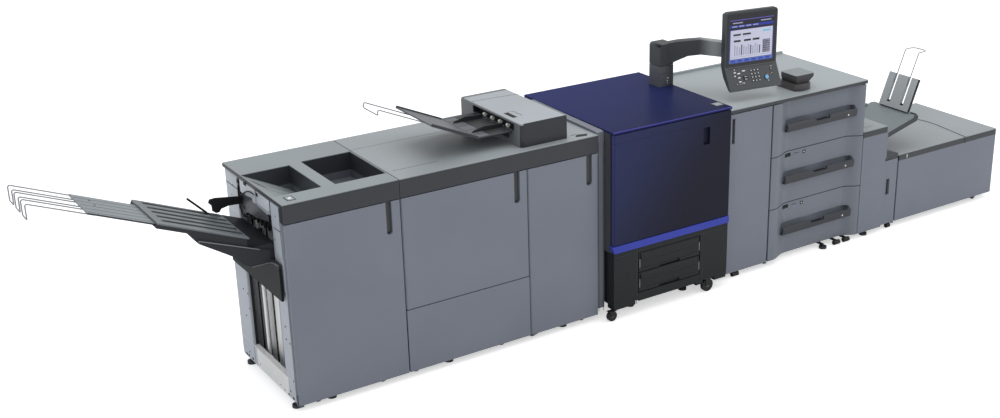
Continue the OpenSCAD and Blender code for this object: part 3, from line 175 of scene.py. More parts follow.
paints = {
    "doorPaint": {"colour": (121, 127, 139), "rough": 0.38},
    "drawerPaint": {"colour": (119, 125, 136), "rough": 0.34},
    "housingPaint": {"colour": (98, 102, 110), "rough": 0.5},
    "dockPaint": {"colour": (118, 122, 132), "rough": 0.5},
    # the finisher's frame, with the bright top of its bottom rail
    "framePaint": {"colour": (176, 183, 193), "rough": 0.4,
                   "zones": [zone("Z", "COMPARE", 140, (236, 238, 238), reach=0.0006)]},
    "framePlate": {"colour": (186, 193, 202), "rough": 0.36},
    "headerPlate": {"colour": (208, 216, 225), "rough": 0.34},
    "railPlate": {"colour": (224, 227, 226), "rough": 0.34},
    "slatSteel": {"colour": (252, 253, 253), "rough": 0.3, "metal": 0.15, "mottle": 0.02,
                  "streak": (1, 1, 0.02)},
    "paleTop": {"colour": (152, 159, 163), "rough": 0.34},
    "feederTop": {"colour": (160, 168, 172), "rough": 0.34},
    "finisherTop": {"colour": (140, 148, 152), "rough": 0.34},
    # the inserter's cover: dark feed slot, grey sides, dark front, pale top
    "coverPale": {"colour": (164, 171, 177), "rough": 0.36,
                  "zones": [zone("Z", "LESS_THAN", 1174, (48, 49, 52)),
                            zone("X", "LESS_THAN", 1299, (106, 110, 114)),
                            zone("X", "GREATER_THAN", 1578, (106, 110, 114)),
                            zone("Y", "GREATER_THAN", 612, (106, 110, 114)),
                            zone("Y", "LESS_THAN", 50.6, (43, 45, 50))]},
    "darkTrim": {"colour": (52, 55, 61), "rough": 0.36},
    "rimTrim": {"colour": (60, 64, 67), "rough": 0.36},
    "blackPlastic": {"colour": (36, 37, 40), "rough": 0.42, "grain": 500, "bump": 0.12},
    "shadeGrey": {"colour": (84, 82, 92), "rough": 0.4},
    "guardGrey": {"colour": (90, 93, 100), "rough": 0.4},
    # pale edges, and painted highlights on the finger slots' cheeks and along the apron
    "edgeGrey": {"colour": (124, 128, 130), "rough": 0.4},
    # painted shade on the back of the doors' finger slots
    "slotGrey": {"colour": (62, 66, 69), "rough": 0.45},
    # painted shade and painted highlight in the engine door's finger slot
    "navyShade": {"colour": (30, 34, 50), "rough": 0.5, "spec": 0.1},
    "navyEdge": {"colour": (40, 45, 66), "rough": 0.45, "spec": 0.1},
    "trayGrey": {"colour": (104, 111, 115), "rough": 0.3},
    # the stacking tray's extension, with its dark front strip
    "extensionGrey": {"colour": (130, 139, 145), "rough": 0.3,
                      "zones": [zone("Y", "LESS_THAN", 170, (48, 52, 58))]},
    # the tray's carrier: dark near the finisher, grey again on the apron, and darker at its foot as painted
    # shade
    "trayFrameGrey": {"colour": (60, 62, 65), "rough": 0.4, "grain": 500, "bump": 0.12, "spec": 0.06,
                      "zones": [zone("X", "GREATER_THAN", -122, (40, 42, 45)),
                                zone("Z", "LESS_THAN", 828, (60, 62, 65)),
                                zone("Z", "LESS_THAN", 735, (33, 35, 38))]},
    # the inserter's tray: its inner end darkened as painted shade next to the inserter's body, and dark rims
    "insertGrey": {"colour": (98, 102, 108), "rough": 0.38, "spec": 0.3,
                   "zones": [zone("X", "GREATER_THAN", 1165, (46, 48, 51)),
                             zone("Y", "LESS_THAN", 132, (62, 65, 71)),
                             zone("Y", "GREATER_THAN", 486, (62, 65, 71))]},
    "bypassGrey": {"colour": (122, 130, 134), "rough": 0.35},
    # steel of the wires, and painted highlights on the stacking tray's lip and sides
    "steelAndHighlight": {"colour": (150, 153, 156), "rough": 0.35, "metal": 0.1, "streak": (1, 1, 0.05)},
    "whiteRoller": {"colour": (242, 242, 238), "rough": 0.5},
    # the engine's top cover, with a painted violet highlight along its front edge and painted shade darkening
    # it towards the right front
    "engineBlue": {"colour": (40, 47, 98), "rough": 0.34, "spec": 0.02,
                   "zones": [zone("Y", "LESS_THAN", -67.4, (42, 47, 92)),
                             zone("Y", "COMPARE", -67, (84, 83, 168), reach=0.0017),
                             zone("Z", "LESS_THAN", 1070.3, (42, 47, 92))],
                   "fade": {"along": (0.5, -0.86, 0), "from": (1782, 708.84, 0), "to": (2582, -81.86, 0),
                            "colour": (34, 39, 72)}},
    # the engine's door, with a dark line of painted shade in the crease near its top, a painted violet
    # highlight on its left edge, and painted shade darkening it towards the lower right
    "engineNavy": {"colour": (44, 50, 90), "rough": 0.34, "spec": 0.18,
                   "zones": [zone("Z", "COMPARE", 1011, (26, 28, 50), reach=0.0013),
                             zone("X", "LESS_THAN", 1788, (64, 62, 130))],
                   "fade": {"along": (0.8, 0, -0.6), "from": (1782, 0, 1033.33), "to": (2582, 0, 833.33),
                            "colour": (24, 26, 42)}},
    "bandBlue": {"colour": (58, 70, 172), "rough": 0.32, "spec": 0.25},
    "engineBlack": {"colour": (36, 40, 41), "rough": 0.42, "spec": 0.25},
    "engineSide": {"colour": (70, 74, 78), "rough": 0.42, "spec": 0.3},
    "panelGrey": {"colour": (60, 66, 69), "rough": 0.42, "grain": 500, "bump": 0.1},
    "panelDark": {"colour": (24, 25, 30), "rough": 0.2, "coat": 0.3},
    # the panel's arm grows paler towards the panel
    "armGrey": {"colour": (67, 70, 74), "rough": 0.42, "grain": 500, "bump": 0.1, "spec": 0.3,
                "fade": {"along": (1, 0, 0), "from": (2668, 0, 0), "to": (2745, 0, 0),
                         "colour": (150, 155, 156)}},
    "supportPale": {"colour": (170, 176, 180), "rough": 0.35},
    "rampPale": {"colour": (150, 158, 160), "rough": 0.38},
    "columnGrey": {"colour": (58, 62, 66), "rough": 0.38},
    "columnPaint": {"colour": (88, 90, 95), "rough": 0.38,
                    "fade": {"along": (1, 0, 0), "from": (2490, 0, 0), "to": (2580, 0, 0),
                             "colour": (52, 58, 62)}},
    "screenGlass": {"colour": (78, 84, 168), "rough": 0.2},
    "screenPale": {"colour": (214, 215, 236), "rough": 0.3, "mottle": 0.03},
    "screenInk": {"colour": (30, 31, 44), "rough": 0.3},
    "screenGrey": {"colour": (96, 99, 120), "rough": 0.3},
    "screenLine": {"colour": (176, 178, 204), "rough": 0.3},
    "screenSky": {"colour": (88, 120, 204), "rough": 0.3},
    "screenCyan": {"colour": (120, 204, 236), "rough": 0.3},
    "edgeViolet": {"colour": (96, 90, 184), "rough": 0.3},
    "startBlue": {"colour": (104, 176, 226), "rough": 0.3},
    "markWhite": {"colour": (236, 237, 238), "rough": 0.4},
    "markRed": {"colour": (196, 120, 116), "rough": 0.4},
    "seamDark": {"colour": (44, 47, 52), "rough": 0.5},
    "holeBlack": {"colour": (16, 16, 18), "rough": 0.6},
    "casterBlack": {"colour": (26, 26, 28), "rough": 0.5},
    "hubGrey": {"colour": (84, 86, 88), "rough": 0.4},
    "footSteel": {"colour": (74, 76, 80), "rough": 0.35, "metal": 0.6},
    # the stand's head with its pale top
    "standGrey": {"colour": (60, 60, 62), "rough": 0.4,
                  "zones": [zone("Z", "GREATER_THAN", 1114.1, (134, 141, 144))]},
    "standBase": {"colour": (74, 71, 72), "rough": 0.36},
}
finishes = {name: finish(name, **paint) for name, paint in paints.items()}

nodeFinish = {
    "housingPaint": "finisher_housing folder_housing feeder_housing",
    "dockPaint": "docking_frame",
    "framePaint": "finisher_frame",
    "slatSteel": "finisher_guide_rails",
    "guardGrey": "exit_guard",
    "finisherTop": "finisher_top_cover",
    "paleTop": "folder_top_cover relay_top_cover bin_lids",
    "feederTop": "feeder_top_cover",
    "coverPale": "inserter_body",
    "rimTrim": "top_rims",
    "darkTrim": "fascia_bands drawer_handle_upper drawer_handle_middle drawer_handle_lower",
    "doorPaint": "finisher_front_door folder_upper_door folder_lower_cover folder_right_door feeder_side_door"
                 " relay_housing bin_housing bin_side_door",
    "drawerPaint": "drawer_upper drawer_middle drawer_lower",
    "panelDark": "panel_keys",
    "blackPlastic": "exit_rollers sensor_paddle",
    "trayGrey": "stacker_tray",
    "extensionGrey": "stacker_extension",
    "trayFrameGrey": "stacker_carrier",
    "insertGrey": "inserter_tray",
    "bypassGrey": "bypass_tray",
    "supportPale": "bypass_support",
    "steelAndHighlight": "stacker_wires wire_loops",
    "whiteRoller": "inserter_rollers",
    "engineSide": "engine_housing",
    "engineBlack": "engine_base paper_tray_upper paper_tray_lower",
    "engineBlue": "engine_top_cover",
    "engineNavy": "engine_front_door",
    "bandBlue": "engine_trim_band",
    "columnPaint": "panel_column",
    "armGrey": "panel_arm",
    "panelGrey": "control_panel",
    "screenGlass": "panel_screen",
    "standBase": "stand_base",
    "standGrey": "stand_head",
    "casterBlack": "casters",
    "footSteel": "levelling_feet",
}
for kind, names in nodeFinish.items():
    for name in names.split():
        nodes[name].data.materials.clear()
        nodes[name].data.materials.append(finishes[kind])
print("finishes set, nodes left without one:", [name for name in nodes if not nodes[name].data.materials])

# soft edges on the plates, covers and doors; the other nodes stay sharp
softEdges = {
    "weld": 0.00002, "width": 0.0016, "segments": 2, "angle": 50,
    "sharp": "finisher_housing folder_housing feeder_housing engine_housing finisher_guide_rails exit_guard"
             " exit_rollers sensor_paddle inserter_rollers wire_loops stacker_wires panel_screen panel_keys"
             " casters levelling_feet drawer_handle_upper drawer_handle_middle drawer_handle_lower"}
for name in sorted(set(nodes) - set(softEdges["sharp"].split())):
    weld = nodes[name].modifiers.new("weld", "WELD")
    weld.merge_threshold = softEdges["weld"]
    bevel = nodes[name].modifiers.new("softEdge", "BEVEL")
    bevel.width = softEdges["width"]
    bevel.segments = softEdges["segments"]
    bevel.limit_method = "ANGLE"
    bevel.angle_limit = math.radians(softEdges["angle"])
    bevel.use_clamp_overlap = True
    bevel.harden_normals = True
print("edges softened")

discTurns = {"X": tilted((0, 0, 0), 90, "Y"), "Y": tilted((0, 0, 0), 90, "X"), "Z": Matrix()}
raisedAxis = {"YZ": 0, "XZ": 1, "XY": 2}  # the axis along which an outline in that plane is raised


def addBox(bm, low, high, mat=0, soft=0.0):
    low, high = Vector(low), Vector(high)
    made = bmesh.ops.create_cube(bm, size=1.0)["verts"]
    bmesh.ops.scale(bm, vec=high - low, verts=made)
    bmesh.ops.translate(bm, vec=(low + high) / 2, verts=made)
    for face in {f for v in made for f in v.link_faces}:
        face.material_index = mat
    if soft:
        edges = list({e for v in made for e in v.link_edges})
        bmesh.ops.bevel(bm, geom=edges, offset=soft, segments=2, profile=0.5, affect="EDGES", material=-1)


def addBoxes(bm, boxes, mat=0, soft=0.0):
    for low, high in boxes:
        addBox(bm, low, high, mat, soft)


def moved(box, x=0, y=0, z=0):
    return [Vector(corner) + Vector((x, y, z)) for corner in box]


def addDisc(bm, centre, radius, depth, axis, mat=0, soft=0.0, steps=24):
    made = bmesh.ops.create_cone(bm, cap_ends=True, segments=steps, radius1=radius, radius2=radius,
                                 depth=depth, matrix=Matrix.Translation(centre) @ discTurns[axis])["verts"]
    for face in {f for v in made for f in v.link_faces}:
        face.material_index = mat
        face.smooth = len(face.verts) == 4
    if soft:
        edges = {e for v in made for e in v.link_edges}
        rims = [e for e in edges if len({len(f.verts) for f in e.link_faces}) > 1]
        bmesh.ops.bevel(bm, geom=rims, offset=soft, segments=2, profile=0.5, affect="EDGES", material=-1)


def roundCorners(path):
    # each stretch keeps its middle half, which cuts the corners between them
    middle = [spot for a, b in zip(path, path[1:]) for spot in (a.lerp(b, 0.25), a.lerp(b, 0.75))]
    return [path[0]] + middle + [path[-1]]


def addTube(bm, points, radius, steps=10):
    # a ring is carried along smoothed points and bridged to the next one
    path = roundCorners(roundCorners([Vector(p) for p in points]))
    last = len(path) - 1
    before = None
    for i, spot in enumerate(path):
        heading = path[min(i + 1, last)] - path[max(i - 1, 0)]
        place = Matrix.Translation(spot) @ heading.to_track_quat("Z", "Y").to_matrix().to_4x4()
        ring = bmesh.ops.create_circle(bm, cap_ends=i in (0, last), segments=steps, radius=radius,
                                       matrix=place)["verts"]
        edges = {e for v in ring for e in v.link_edges}
        edges = [e for e in edges if e.verts[0] in ring and e.verts[1] in ring]
        if before:
            for face in bmesh.ops.bridge_loops(bm, edges=before + edges)["faces"]:
                face.smooth = True
        before = edges


def addPlate(bm, outline, depth, mat=0, plane="YZ"):
    # the outline lies in a plane and is raised along the third axis from depth[0] to depth[1]
    axis = raisedAxis[plane]
    corners = []
    for spot in outline:
        corner = list(spot)
        corner.insert(axis, depth[0])
        corners.append(bm.verts.new(corner))
    face = bm.faces.new(corners)
    face.material_index = mat
    push = Vector((0, 0, 0))
    push[axis] = depth[1] - depth[0]
    grown = bmesh.ops.extrude_face_region(bm, geom=[face])["geom"]
    top = [g for g in grown if isinstance(g, bmesh.types.BMVert)]
    bmesh.ops.translate(bm, vec=push, verts=top)
    for near in {f for v in top for f in v.link_faces}:
        near.material_index = mat


def finishPiece(name, bm, kinds, body, local=Matrix()):
    bm.transform(toFrame @ local)
    bmesh.ops.recalc_face_normals(bm, faces=bm.faces)
    mesh = bpy.data.meshes.new(name)
    bm.to_mesh(mesh)
    bm.free()
    for kind in kinds.split():
        mesh.materials.append(finishes[kind])
    piece = bpy.data.objects.new(name, mesh)
    bpy.context.scene.collection.objects.link(piece)
    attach(piece, body)


# plates on the posts of the finisher's open end, as y and z spans; the low one has a cut corner
posts = {"depth": (-1.6, 0.2), "soft": 0.4,
         "plates": ((44, 134, 918, 1030), (542, 686, 976, 1026), (542, 686, 832, 970)),
         "lowPlate": ((44, 912), (44, 808), (52, 788), (68, 782), (112, 796), (112, 912))}


def postPlates(s):
    outer, inner = s["depth"]
    bm = bmesh.new()
    for y0, y1, z0, z1 in s["plates"]:
        addBox(bm, (outer, y0, z0), (inner, y1, z1), soft=s["soft"])
    addPlate(bm, s["lowPlate"], s["depth"])
    finishPiece("postPlates", bm, "framePlate", "machine")


postPlates(posts)

# joints beside the plates; dark boxes as painted shade beside the header, on the rear post's inner face and
# between the slats; steel on the bay's rear wall
joints = {
    "depth": (-0.5, 0.3),
    "spans": ((136, 139, 780, 1034), (40, 43, 778, 1034), (688, 690, 60, 1034), (540, 542, 140, 1034),
              (44, 112, 912, 918), (542, 686, 970, 976), (534, 537, 40, 140)),
    "shades": (((3.0, 505, 958), (3.9, 538, 1036)), ((3.0, 136, 800), (3.9, 152, 1036)),
               ((10, 533.2, 141), (25.6, 534.1, 690))),
    "slatGaps": ((138, 177), (237, 268), (328, 359), (419, 450), (510, 541), (601, 631)),
    "gapClear": 1.5, "gapDepth": (84.5, 89.8), "gapHeight": (60, 838),
    "baySheet": ((38, 676.0, 60), (78, 676.8, 838))}


def postJoints(s):
    outer, inner = s["depth"]
    bm = bmesh.new()
    for y0, y1, z0, z1 in s["spans"]:
        addBox(bm, (outer, y0, z0), (inner, y1, z1))
    addBoxes(bm, s["shades"], mat=1)
    x0, x1 = s["gapDepth"]
    z0, z1 = s["gapHeight"]
    for y0, y1 in s["slatGaps"]:
        addBox(bm, (x0, y0 + s["gapClear"], z0), (x1, y1 - s["gapClear"], z1), mat=1)
    addBox(bm, *s["baySheet"], mat=2)
    finishPiece("postJoints", bm, "seamDark holeBlack slatSteel", "machine")


postJoints(joints)

# pale plates across the top of the mouth, as outlines in y and z
header = {"depth": (-0.8, 4.2),
          "outlines": (((152, 1034), (300, 1035), (300, 978), (168, 974), (152, 986)),
                       ((318, 1035), (505, 1035), (503, 972), (420, 974), (360, 983), (352, 966), (322, 966),
                        (318, 984)))}


def headerPlates(s):
    bm = bmesh.new()
    for outline in s["outlines"]:
        addPlate(bm, outline, s["depth"])
    finishPiece("headerPlates", bm, "headerPlate", "machine")


headerPlates(header)

# pale plate on the bottom rail
rail = {"plate": ((-1.6, 114, 38), (0.2, 500, 140)), "soft": 0.4}


def railCover(s):
    bm = bmesh.new()
    addBox(bm, *s["plate"], soft=s["soft"])
    finishPiece("railCover", bm, "railPlate", "machine")


railCover(rail)

# sloping sheet in the finisher's mouth with three ribs; outlines in x and z
ramp = {"sheet": ((9, 1049.6), (248, 930.0), (248, 931.2), (11, 1050.8)), "sides": (127, 495),
        "rib": ((39, 1035.2), (244, 932.6), (244, 934.0), (39, 1036.6)), "ribs": (219, 311, 403),
        "ribWide": 4}


def rampSheet(s):
    bm = bmesh.new()
    addPlate(bm, s["sheet"], s["sides"], plane="XZ")
    for y in s["ribs"]:
        addPlate(bm, s["rib"], (y, y + s["ribWide"]), mat=1, plane="XZ")
    finishPiece("rampSheet", bm, "rampPale shadeGrey", "machine")


rampSheet(ramp)

# screw heads and cap plates on the frame's end, each with a slot across it; places in y and z
frameDots = {
    "small": ((596, 978), (623, 921), (605, 424), (597, 281), (548, 420), (545, 338), (606, 74), (84, 979),
              (111, 855), (50, 603), (91, 419), (93, 352), (50, 346), (50, 147), (99, 74), (216, 57),
              (169, 50), (470, 60)),
    "large": ((650, 44), (621, 47), (568, 50), (121, 47), (67, 47)), "rSmall": 4.0, "rLarge": 7.0,
    "proud": 2.4, "soft": 0.7, "slotReach": 0.6, "slotHalf": 0.5, "slotDepth": (-0.25, 0.3)}


def frameScrews(s):
    top = -s["proud"]
    bm = bmesh.new()
    for spots, r in ((s["small"], s["rSmall"]), (s["large"], s["rLarge"])):
        reach = r * s["slotReach"]
        for y, z in spots:
            addDisc(bm, (top / 2, y, z), r, s["proud"], "X", soft=s["soft"], steps=16)
            addBox(bm, (top + s["slotDepth"][0], y - reach, z - s["slotHalf"]),
                   (top + s["slotDepth"][1], y + reach, z + s["slotHalf"]), mat=1)
    finishPiece("frameScrews", bm, "holeBlack footSteel", "machine")


frameScrews(frameDots)

# shafts with rings and levers, a bar and brackets in the mouth; shafts as x, z and radius
mouth = {
    "ends": (152, 522), "shafts": ((38, 884, 5), (60, 868, 4)),
    "rings": 8, "ringFrom": 178, "ringPitch": 44, "ringR": 14, "ringWide": 12,
    "lever": ((68, 898), (26, 894), (16, 870), (18, 850), (24, 848), (68, 864)),  # in x and z
    "leverFrom": 14, "leverWide": 5,
    "bar": ((20, 150, 902), (70, 524, 918)), "barSoft": 3,
    "bracket": ((24, 0, 858), (66, 12, 906)), "brackets": (150, 318, 500), "bracketSoft": 2}


def mouthShafts(s):
    y0, y1 = s["ends"]
    bm = bmesh.new()
    for x, z, r in s["shafts"]:
        addDisc(bm, (x, (y0 + y1) / 2, z), r, y1 - y0, "Y", steps=16)
    x, z, r = s["shafts"][0]
    for i in range(s["rings"]):
        y = s["ringFrom"] + i * s["ringPitch"]
        addDisc(bm, (x, y, z), s["ringR"], s["ringWide"], "Y", mat=1, soft=1.5)
        y += s["leverFrom"]
        addPlate(bm, s["lever"], (y, y + s["leverWide"]), plane="XZ")
    addBox(bm, *s["bar"], soft=s["barSoft"])
    for y in s["brackets"]:
        addBox(bm, *moved(s["bracket"], y=y), soft=s["bracketSoft"])
    finishPiece("mouthShafts", bm, "blackPlastic holeBlack", "machine")


mouthShafts(mouth)

# the shield reaches further down towards the rear; outline and rivets in y and z
shield = {"outline": ((200, 1004), (200, 912), (300, 893), (360, 880), (458, 876), (530, 846), (530, 1004)),
          "depth": (10.5, 12.0), "rivetX": 10, "rivets": ((450, 905), (330, 915), (300, 905)), "rivetR": 3,
          "rivetHigh": 1.4}


def shieldSheet(s):
    bm = bmesh.new()
    addPlate(bm, s["outline"], s["depth"])
    for y, z in s["rivets"]:
        addDisc(bm, (s["rivetX"], y, z), s["rivetR"], s["rivetHigh"], "X", mat=1, soft=0.3, steps=12)
    finishPiece("shieldSheet", bm, "guardGrey holeBlack", "machine")


shieldSheet(shield)

# cables in the mouth as radius and route, their clips on the header, and a block where the last one ends
cables = {
    "routes": (
        (3.6, ((12, 528, 1026), (-2, 529, 985), (-3, 528, 930), (-2, 526, 880), (2, 508, 846),
               (16, 492, 842))),
        (2.6, ((14, 512, 1004), (-2, 514, 960), (-2, 510, 915), (10, 498, 880), (26, 486, 866))),
        (2.8, ((10, 506, 930), (-3, 494, 948), (-5, 440, 990), (-4, 380, 1012), (-3, 330, 1012),
               (6, 318, 1006))),
        (2.4, ((14, 440, 1046), (44, 382, 1036), (90, 306, 1006), (120, 265, 992)))),
    "clips": (((-5, 419, 1025), (3, 445, 1041)), ((-5, 281, 1013), (3, 299, 1029)),
              ((-5, 514, 1009), (3, 534, 1025))),
    "clipSoft": 1.5, "block": ((122, 196, 972), (160, 236, 992)), "blockSoft": 3}


def mouthCables(s):
    bm = bmesh.new()
    for radius, route in s["routes"]:
        addTube(bm, route, radius)
    addBoxes(bm, s["clips"], soft=s["clipSoft"])
    addBox(bm, *s["block"], soft=s["blockSoft"])
    finishPiece("mouthCables", bm, "holeBlack", "machine")


mouthCables(cables)

# plate on the finisher's lid
badge = {"plate": ((46, 38, 1055.5), (88, 97, 1056.9)), "face": ((51, 44, 1056.5), (83, 91, 1057.5)),
         "disc": (67, 67.5, 1057.9), "discR": 9, "discHigh": 1.2, "soft": 0.4}


def topBadge(s):
    bm = bmesh.new()
    addBox(bm, *s["plate"], soft=s["soft"])
    addBox(bm, *s["face"], mat=1, soft=s["soft"])
    addDisc(bm, s["disc"], s["discR"], s["discHigh"], "Z", mat=2, soft=0.3)
    finishPiece("topBadge", bm, "seamDark paleTop markWhite", "machine")


topBadge(badge)

# feed slit and joints of the folding unit's top
foldTop = {"slit": ((1624, 38), (1684, 26), (1702, 52), (1646, 68)), "slitHeight": (1055.6, 1056.8),
           "tail": ((1616, 74), (1646, 69), (1650, 74), (1620, 80)), "tailHeight": (1055.6, 1056.4),
           "joints": (((590, 524.2, 1054), (1146, 526.8, 1055.7)),
                      ((620, 126.2, 1054), (872, 128.8, 1055.7)))}


def folderSlit(s):
    bm = bmesh.new()
    addPlate(bm, s["slit"], s["slitHeight"], plane="XY")
    addPlate(bm, s["tail"], s["tailHeight"], mat=1, plane="XY")
    addBoxes(bm, s["joints"], mat=1)
    finishPiece("folderSlit", bm, "holeBlack seamDark", "machine")


folderSlit(foldTop)
print("finisher fitted")

# finger slots in the doors: a dark back as painted shade in the recess, a lighter left cheek as a painted
# highlight and a line at the foot
slots = {
    "places": {"finisher_door": (508, 540, 790, 957, 13.2),  # x span, z span and the back's y
               "folder_upper_leaf": (1219, 1254, 790, 957, 13.2),
               "folder_right_leaf": (1658, 1696, 790, 957, 13.2),
               "engine_door": (2384, 2429, 892, 989, -52.4),
               "feeder_door": (2648, 2670, 824, 970, 18.4),
               "bin_door": (3931, 3961, 235, 339, 30.4)},
    "clear": 0.6, "backFoot": 1, "backThick": 0.8,
    "cheek": (0.4, 2.6), "cheekDepth": (-12, 0.6), "cheekFoot": 6, "cheekTop": 2,
    "lineClear": 5, "lineProud": 1.5, "lineHeight": (8, 11),
    "shades": "slotGrey edgeGrey holeBlack", "engineShades": "navyShade navyEdge holeBlack"}


def slotInserts(s):
    left, right = s["cheek"]
    front, back = s["cheekDepth"]
    low, high = s["lineHeight"]
    for body, (x0, x1, z0, z1, y) in s["places"].items():
        bm = bmesh.new()
        addBox(bm, (x0 + s["clear"], y, z0 + s["backFoot"]),
               (x1 - s["clear"], y + s["backThick"], z1 - s["clear"]))
        addBox(bm, (x0 + left, y + front, z0 + s["cheekFoot"]),
               (x0 + right, y + back, z1 - s["cheekTop"]), mat=1)
        addBox(bm, (x0 + s["lineClear"], y - s["lineProud"], z0 + low),
               (x1 - s["lineClear"], y, z0 + high), mat=2)
        kinds = s["engineShades"] if body == "engine_door" else s["shades"]
        finishPiece(body + "_slot", bm, kinds, body)


slotInserts(slots)

# window and joints on the inserter's top
inserterTop = {
    "window": ((1326, 166, 1181.5), (1352, 257, 1182.9)), "windowSoft": 0.4,
    "marks": (((1330, 202, 1182.4), (1348, 206, 1183.2)), ((1384, 177, 1181.5), (1387, 262, 1182.6)),
              ((1352, 260, 1181.5), (1387, 262, 1182.5))),
    "seam": ((1303, 536), (1583, 512), (1583, 508.6), (1303, 532.6)), "seamHeight": (1181.6, 1182.35)}


def inserterMarks(s):
    bm = bmesh.new()
    addBox(bm, *s["window"], soft=s["windowSoft"])
    addBoxes(bm, s["marks"], mat=1)
    addPlate(bm, s["seam"], s["seamHeight"], mat=1, plane="XY")
    finishPiece("inserterMarks", bm, "holeBlack seamDark", "machine")


inserterMarks(inserterTop)

# side guides and raised lines on the inserter's tray
inserterTray = {
    "guide": ((1106, 1132), (1286, 1132), (1286, 1150), (1180, 1156), (1118, 1142)), "guides": (206, 396),
    "guideWide": 5,
    "edges": (((1100, 119.4, 1131), (1290, 122.4, 1133.6)), ((1094, 124, 1131.4), (1098, 498, 1133.2))),
    "line": ((1104, 0, 1131.4), (1280, 3, 1132.8)), "lines": (176, 256, 336, 430)}


def inserterGuides(s):
    bm = bmesh.new()
    for y in s["guides"]:
        addPlate(bm, s["guide"], (y, y + s["guideWide"]), plane="XZ")
    addBoxes(bm, s["edges"], mat=1)
    addBoxes(bm, [moved(s["line"], y=y) for y in s["lines"]], mat=1)
    finishPiece("inserterGuides", bm, "blackPlastic columnGrey", "machine")


inserterGuides(inserterTray)

# dots and grooves of the stacking tray's extension, along its slope
extension = {"dots": ((-781, 389, -8.6), (-777, 324, -8.6)), "dotR": 5, "dotHigh": 1.0,
             "groove": ((-848, 188, -9.3), (-560, 190, -8.5)), "grooves": 5, "groovePitch": 54}


def extensionMarks(s):
    bm = bmesh.new()
    for spot in s["dots"]:
        addDisc(bm, spot, s["dotR"], s["dotHigh"], "Z", soft=0.3, steps=16)
    addBoxes(bm, [moved(s["groove"], y=i * s["groovePitch"]) for i in range(s["grooves"])], mat=1)
    finishPiece("extensionMarks", bm, "holeBlack seamDark", "extension", trayFrame)


extensionMarks(extension)

# bright lip and sides of the stacking tray, painted highlights along its edges
tray = {"lip": ((-553, 148, -0.4), (-549, 506, 0.9)), "lipSoft": 0.4,
        "sides": (((-548, 148, -0.4), (-122, 150.5, 0.8)), ((-548, 503.5, -0.4), (-122, 506, 0.8)))}


def trayEdges(s):
    bm = bmesh.new()
    addBox(bm, *s["lip"], soft=s["lipSoft"])
    addBoxes(bm, s["sides"])
    finishPiece("trayEdges", bm, "steelAndHighlight", "stacker", trayFrame)


trayEdges(tray)

# pale tubes as painted highlights along the top and the foot of the apron below the tray, and the stop rod's
# sleeve, with radii
apron = {"top": ((-346, 136.6, 908), (-345, 136.6, 921), (-338, 136.6, 918), (-240, 136.6, 880),
                 (-111, 136.6, 830), (-70, 136.6, 814)), "topR": 2.4,
         "foot": ((-112, 137, 736.5), (-60, 137, 737), (-20, 136, 738), (-20, 55, 749)), "footR": 1.8,
         "sleeve": ((-184, 480, 914), (-226, 480, 958), (-267, 480, 1001)), "sleeveR": 5.2}


def apronEdge(s):
    bm = bmesh.new()
    addTube(bm, s["top"], s["topR"])
    addTube(bm, s["foot"], s["footR"])
    finishPiece("apronEdge", bm, "edgeGrey", "stacker")
    bm = bmesh.new()
    addTube(bm, s["sleeve"], s["sleeveR"])
    finishPiece("stopSleeve", bm, "holeBlack", "stacker")


apronEdge(apron)
print("inserter and stacking tray fitted")

# moulded grips of the engine's paper trays; y and z from the base's front and from each tray's foot
grips = {
    "front": -60.0, "trays": {"tray_upper": 246, "tray_lower": 128}, "x": (1972, 2368),
    "outline": ((0.5, 62), (-3, 66), (-6.5, 80), (-6, 94), (-2, 104), (3, 108)),
    "cheek": ((0, -1.2, 26), (5, 0.4, 76)), "cheeks": (1963, 2376), "cheekSoft": 0.4,
    "slit": ((1986, -0.8, 18), (2354, 0.4, 20.5))}


def trayGrips(s):
    front = s["front"]
    for body, foot in s["trays"].items():
        bm = bmesh.new()
        addPlate(bm, [(front + y, foot + z) for y, z in s["outline"]], s["x"])
        for x in s["cheeks"]:
            addBox(bm, *moved(s["cheek"], x, front, foot), mat=1, soft=s["cheekSoft"])
        addBox(bm, *moved(s["slit"], y=front, z=foot), mat=2)
        finishPiece(body + "_grip", bm, "engineBlack edgeGrey holeBlack", body)


trayGrips(grips)

# joints, lock and screws of the engine's base
engineBase = {
    "joints": (((1944, -60.6, 62), (1947, -59.6, 392)), ((1800, -60.6, 366), (2570, -59.6, 368.5)),
               ((2404, -60.6, 92), (2406, -59.6, 380)), ((2552, -60.6, 92), (2554, -59.6, 380))),
    "lock": (1893, -60.6, 241), "lockR": 13, "lockKey": ((1881, -61.4, 222), (1905, -59.7, 260)),
    "screws": ((1812, 110), (1812, 360), (2562, 110), (2562, 360), (2420, 120)), "screwY": -60.8, "screwR": 4,
    "proud": 1.8}


def baseSeams(s):
    bm = bmesh.new()
    addBoxes(bm, s["joints"])
    addDisc(bm, s["lock"], s["lockR"], s["proud"], "Y", mat=1, soft=0.5)
    addBox(bm, *s["lockKey"], mat=1, soft=1.0)
    for x, z in s["screws"]:
        addDisc(bm, (x, s["screwY"], z), s["screwR"], s["proud"], "Y", mat=1, soft=0.4, steps=16)
    finishPiece("baseSeams", bm, "seamDark holeBlack", "machine")


baseSeams(engineBase)

# hubs of the engine's front casters, as centre and radius, with a cap on each
hubs = {"places": (((1786, -58.6, 29), 10), ((2452, -54.6, 38), 13)), "high": 2.4, "capShare": 0.4,
        "capHigh": 2.0, "capOut": 1.4}


def engineHubs(s):
    bm = bmesh.new()
    for (x, y, z), r in s["places"]:
        addDisc(bm, (x, y, z), r, s["high"], "Y", soft=0.8)
        addDisc(bm, (x, y - s["capOut"], z), r * s["capShare"], s["capHigh"], "Y", mat=1, soft=0.5, steps=16)
    finishPiece("engineHubs", bm, "hubGrey footSteel", "machine")


engineHubs(hubs)

